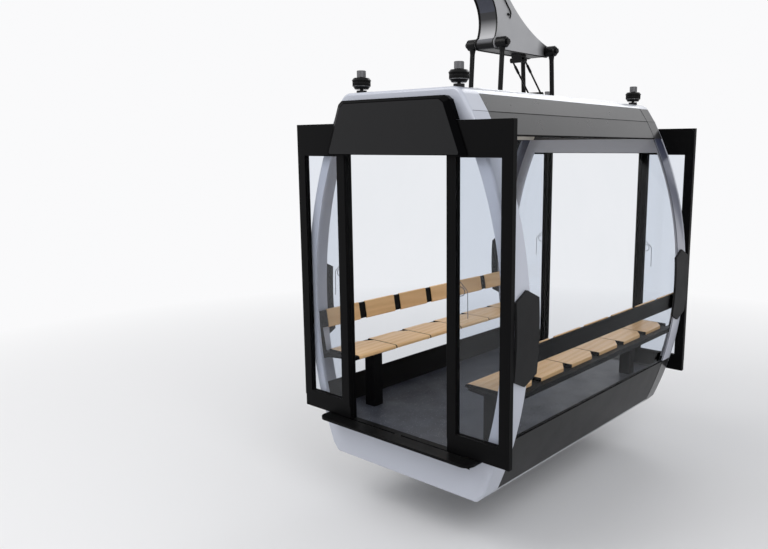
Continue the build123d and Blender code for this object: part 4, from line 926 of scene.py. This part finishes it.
def turnedPiece(name, profile, place, axis, finish, body, steps=24):
    # A turned part: (radius, height) pairs round an axis through a place.
    turn = Vector((0, 0, 1)).rotation_difference(Vector(axis)).to_matrix()
    points, faces = [], []
    for radius, height in profile:
        for step in range(steps):
            angle = 2 * math.pi * step / steps
            offset = turn @ Vector((radius * math.cos(angle), radius * math.sin(angle), height))
            points.append(offset + Vector(place))
    for low in range(0, (len(profile) - 1) * steps, steps):
        for step in range(steps):
            after = (step + 1) % steps
            faces.append((low + step, low + after, low + steps + after, low + steps + step))
    faces.append(tuple(reversed(range(steps))))
    faces.append(tuple(range(len(points) - steps, len(points))))
    mesh = bpy.data.meshes.new(name)
    mesh.from_pydata(points, [], faces)
    mesh.materials.append(finishes[finish])
    addPiece(name, mesh, body)


def ballProfile(radius, steps=10, poleGap=0.15):
    # The first and last rows stop short of the poles by a share of a step.
    angles = [math.pi * (step + poleGap) / (steps + 2 * poleGap) for step in range(steps + 1)]
    return [(radius * math.sin(angle), -radius * math.cos(angle)) for angle in angles]


def makeReleaseRod(setup):
    x = setup["plateX"] + setup["standOff"]
    lines = [([(x, y, height + sillHeight) for y, height in setup[name]], False) for name in ("path", "side")]
    strips("release_rod", lines, setup["radius"], "postPaint", "cabin", sides=setup["sides"], bend=setup["bend"])
    y, height = setup["side"][-1]
    turnedPiece("release_ball", ballProfile(setup["ballRadius"]), (x, y, height + sillHeight), (0, -1, 0),
                "postPaint", "cabin")
    y, height = setup["path"][0]
    eye = setup["eyeRadius"]
    profile = [(eye, 0.0), (eye, setup["standOff"] + setup["eyeRim"]),
               (eye * setup["eyeTopShare"], setup["standOff"] + setup["eyeTop"])]
    turnedPiece("release_eye", profile, (setup["plateX"], y, height + sillHeight), (1, 0, 0),
                "postPaint", "cabin")


# Bolt heads. Heights on the cabin count from the sill, and on the grip from the rope
boltShared = {"body": "cabin", "finish": "boltSteel", "facing": (0, 0, 1), "sides": 6, "washerHeight": 0.002}
boltSets = {
    "post_foot_bolts": {
        "radius": 0.0085, "height": 0.0055, "washer": 0.0115,
        "places": [(x, y, 2.437) for postX in pair(0, 0.142) for postY in pair(0, 0.376)
                   for x in pair(postX, 0.033) for y in pair(postY, 0.033)]},
    "stay_bracket_bolts": {
        "radius": 0.0075, "height": 0.005, "washer": 0.010,
        "places": [(x, y, 2.439) for x in (-0.068, 0.068) for y in (0.306, 0.412)]},
    "deck_bolts": {
        "radius": 0.008, "height": 0.005, "washer": 0.011, "facing": (0, 0, -1),
        "places": [(x, y, -0.178) for x in (-0.56, 0.56) for rib in range(-2, 3) for y in pair(rib * 0.56, 0.014)]},
    "axle_bolts": {
        "body": "grip", "radius": 0.0115, "height": 0.007, "washer": 0.016, "facing": (0, -1, 0),
        "places": [(x, -0.1921, 0.125) for x in (-0.19, 0.19)]},
    "drive_plate_bolts": {
        "body": "grip", "radius": 0.0085, "height": 0.0045, "washer": 0.0115, "sides": 20,
        "places": [(x, 0.0, 0.188) for x in (-0.085, 0.085)]},
    "spring_nuts": {
        "body": "grip", "radius": 0.012, "height": 0.008, "washer": 0.017,
        "places": [(x, -0.08, 0.118) for x in (-0.118, 0.118)]},
    "casting_bolts": {
        "body": "grip", "radius": 0.008, "height": 0.005, "washer": 0.011, "facing": (0, 0, -1),
        "places": [(x, -0.07, -0.078) for x in (-0.042, 0.042)]},
}


def makeBolts(sets):
    for name, row in sets.items():
        setup = dict(boltShared, **row)
        level = sillHeight if setup["body"] == "cabin" else 0.0
        places = [((x, y, height + level), setup["facing"]) for x, y, height in setup["places"]]
        grow(name, pointsObject(name, places), boltTree,
             {"Head Sides": setup["sides"], "Head Radius": setup["radius"], "Head Height": setup["height"],
              "Washer Radius": setup["washer"], "Washer Height": setup["washerHeight"]},
             setup["finish"], setup["body"])


makeGlassSeals(glassSeals)
makeShoulderJoint(shoulderJoint)
makeLeafTrim(leafTrim)
makeRollerRibs(rollerRibs)
makeReleaseRod(releaseRod)
makeBolts(boltSets)


# Stage and light
stageSetup = {
    "floorDrop": 0.42, "halfSize": 60.0, "evenColour": (0.78, 0.78, 0.785, 1.0), "evenRough": 0.8,
    "shine": 0.1, "shadowRadius": (2.4, 9.0), "white": (0.955, 0.955, 0.965, 1.0),
    "roomTone": (0.965, 0.975, 1.0, 1.0), "roomStrength": 0.66,
}


def seenRays(tree):
    # 1 for rays from the camera, also by way of glass or a reflection, and 0 for rays that light the scene.
    light = tree.nodes.new("ShaderNodeLightPath").outputs
    bent = mathNode(tree, "MAXIMUM", light["Is Glossy Ray"], light["Is Transmission Ray"])
    return mathNode(tree, "MAXIMUM", light["Is Camera Ray"], bent)


def makeStage(setup):
    # A floor that takes the shadow and fades into the white round it.
    size = setup["halfSize"]
    height = cadLow.z - setup["floorDrop"]
    mesh = bpy.data.meshes.new("studioFloor")
    mesh.from_pydata([(-size, -size, height), (size, -size, height), (size, size, height), (-size, size, height)],
                     [], [(0, 1, 2, 3)])
    floor = addObject("studioFloor", mesh)
    material, tree, shader, coords = startMaterial("studioFloor", setup)
    away = vectorNode(tree, "DISTANCE", coords, (0.0, 0.0, height), "Value")
    fade = mapRange(tree, away, *setup["shadowRadius"])
    glow = addNode(tree, "ShaderNodeEmission", {"Color": setup["white"]})
    mixShaders(tree, times(tree, fade, seenRays(tree)), shader, glow)
    mesh.materials.append(material)


def makeWorld(setup):
    world = bpy.data.worlds.new("studio")
    world.use_nodes = True
    bpy.context.scene.world = world
    tree = world.node_tree
    room = tree.nodes["Background"]
    feed(tree, room, {"Color": setup["roomTone"], "Strength": setup["roomStrength"]})
    white = addNode(tree, "ShaderNodeBackground", {"Color": setup["white"]})
    mixShaders(tree, seenRays(tree), room, white, "World Output")


lampTarget = (0, 0, -3.6)
lamps = {
    "keyLamp": {"place": (-3.5, -6.5, 2.2), "size": 5.0, "power": 310.0, "tone": (1.0, 0.99, 0.98)},
    "fillLamp": {"place": (6.0, -4.0, 1.4), "size": 4.0, "power": 190.0, "tone": (0.98, 0.985, 1.0)},
    "backLamp": {"place": (-1.0, 7.0, 2.5), "size": 4.0, "power": 125.0, "tone": (0.98, 0.985, 1.0)},
}


def makeLamps(setup):
    for name, lamp in setup.items():
        data = bpy.data.lights.new(name, "AREA")
        data.size = lamp["size"]
        data.energy = lamp["power"]
        data.color = lamp["tone"]
        made = addObject(name, data)
        made.location = lamp["place"]
        made.rotation_euler = (Vector(lampTarget) - made.location).to_track_quat("-Z", "Y").to_euler()


makeStage(stageSetup)
makeWorld(stageSetup)
makeLamps(lamps)
print("stage and lamps made")
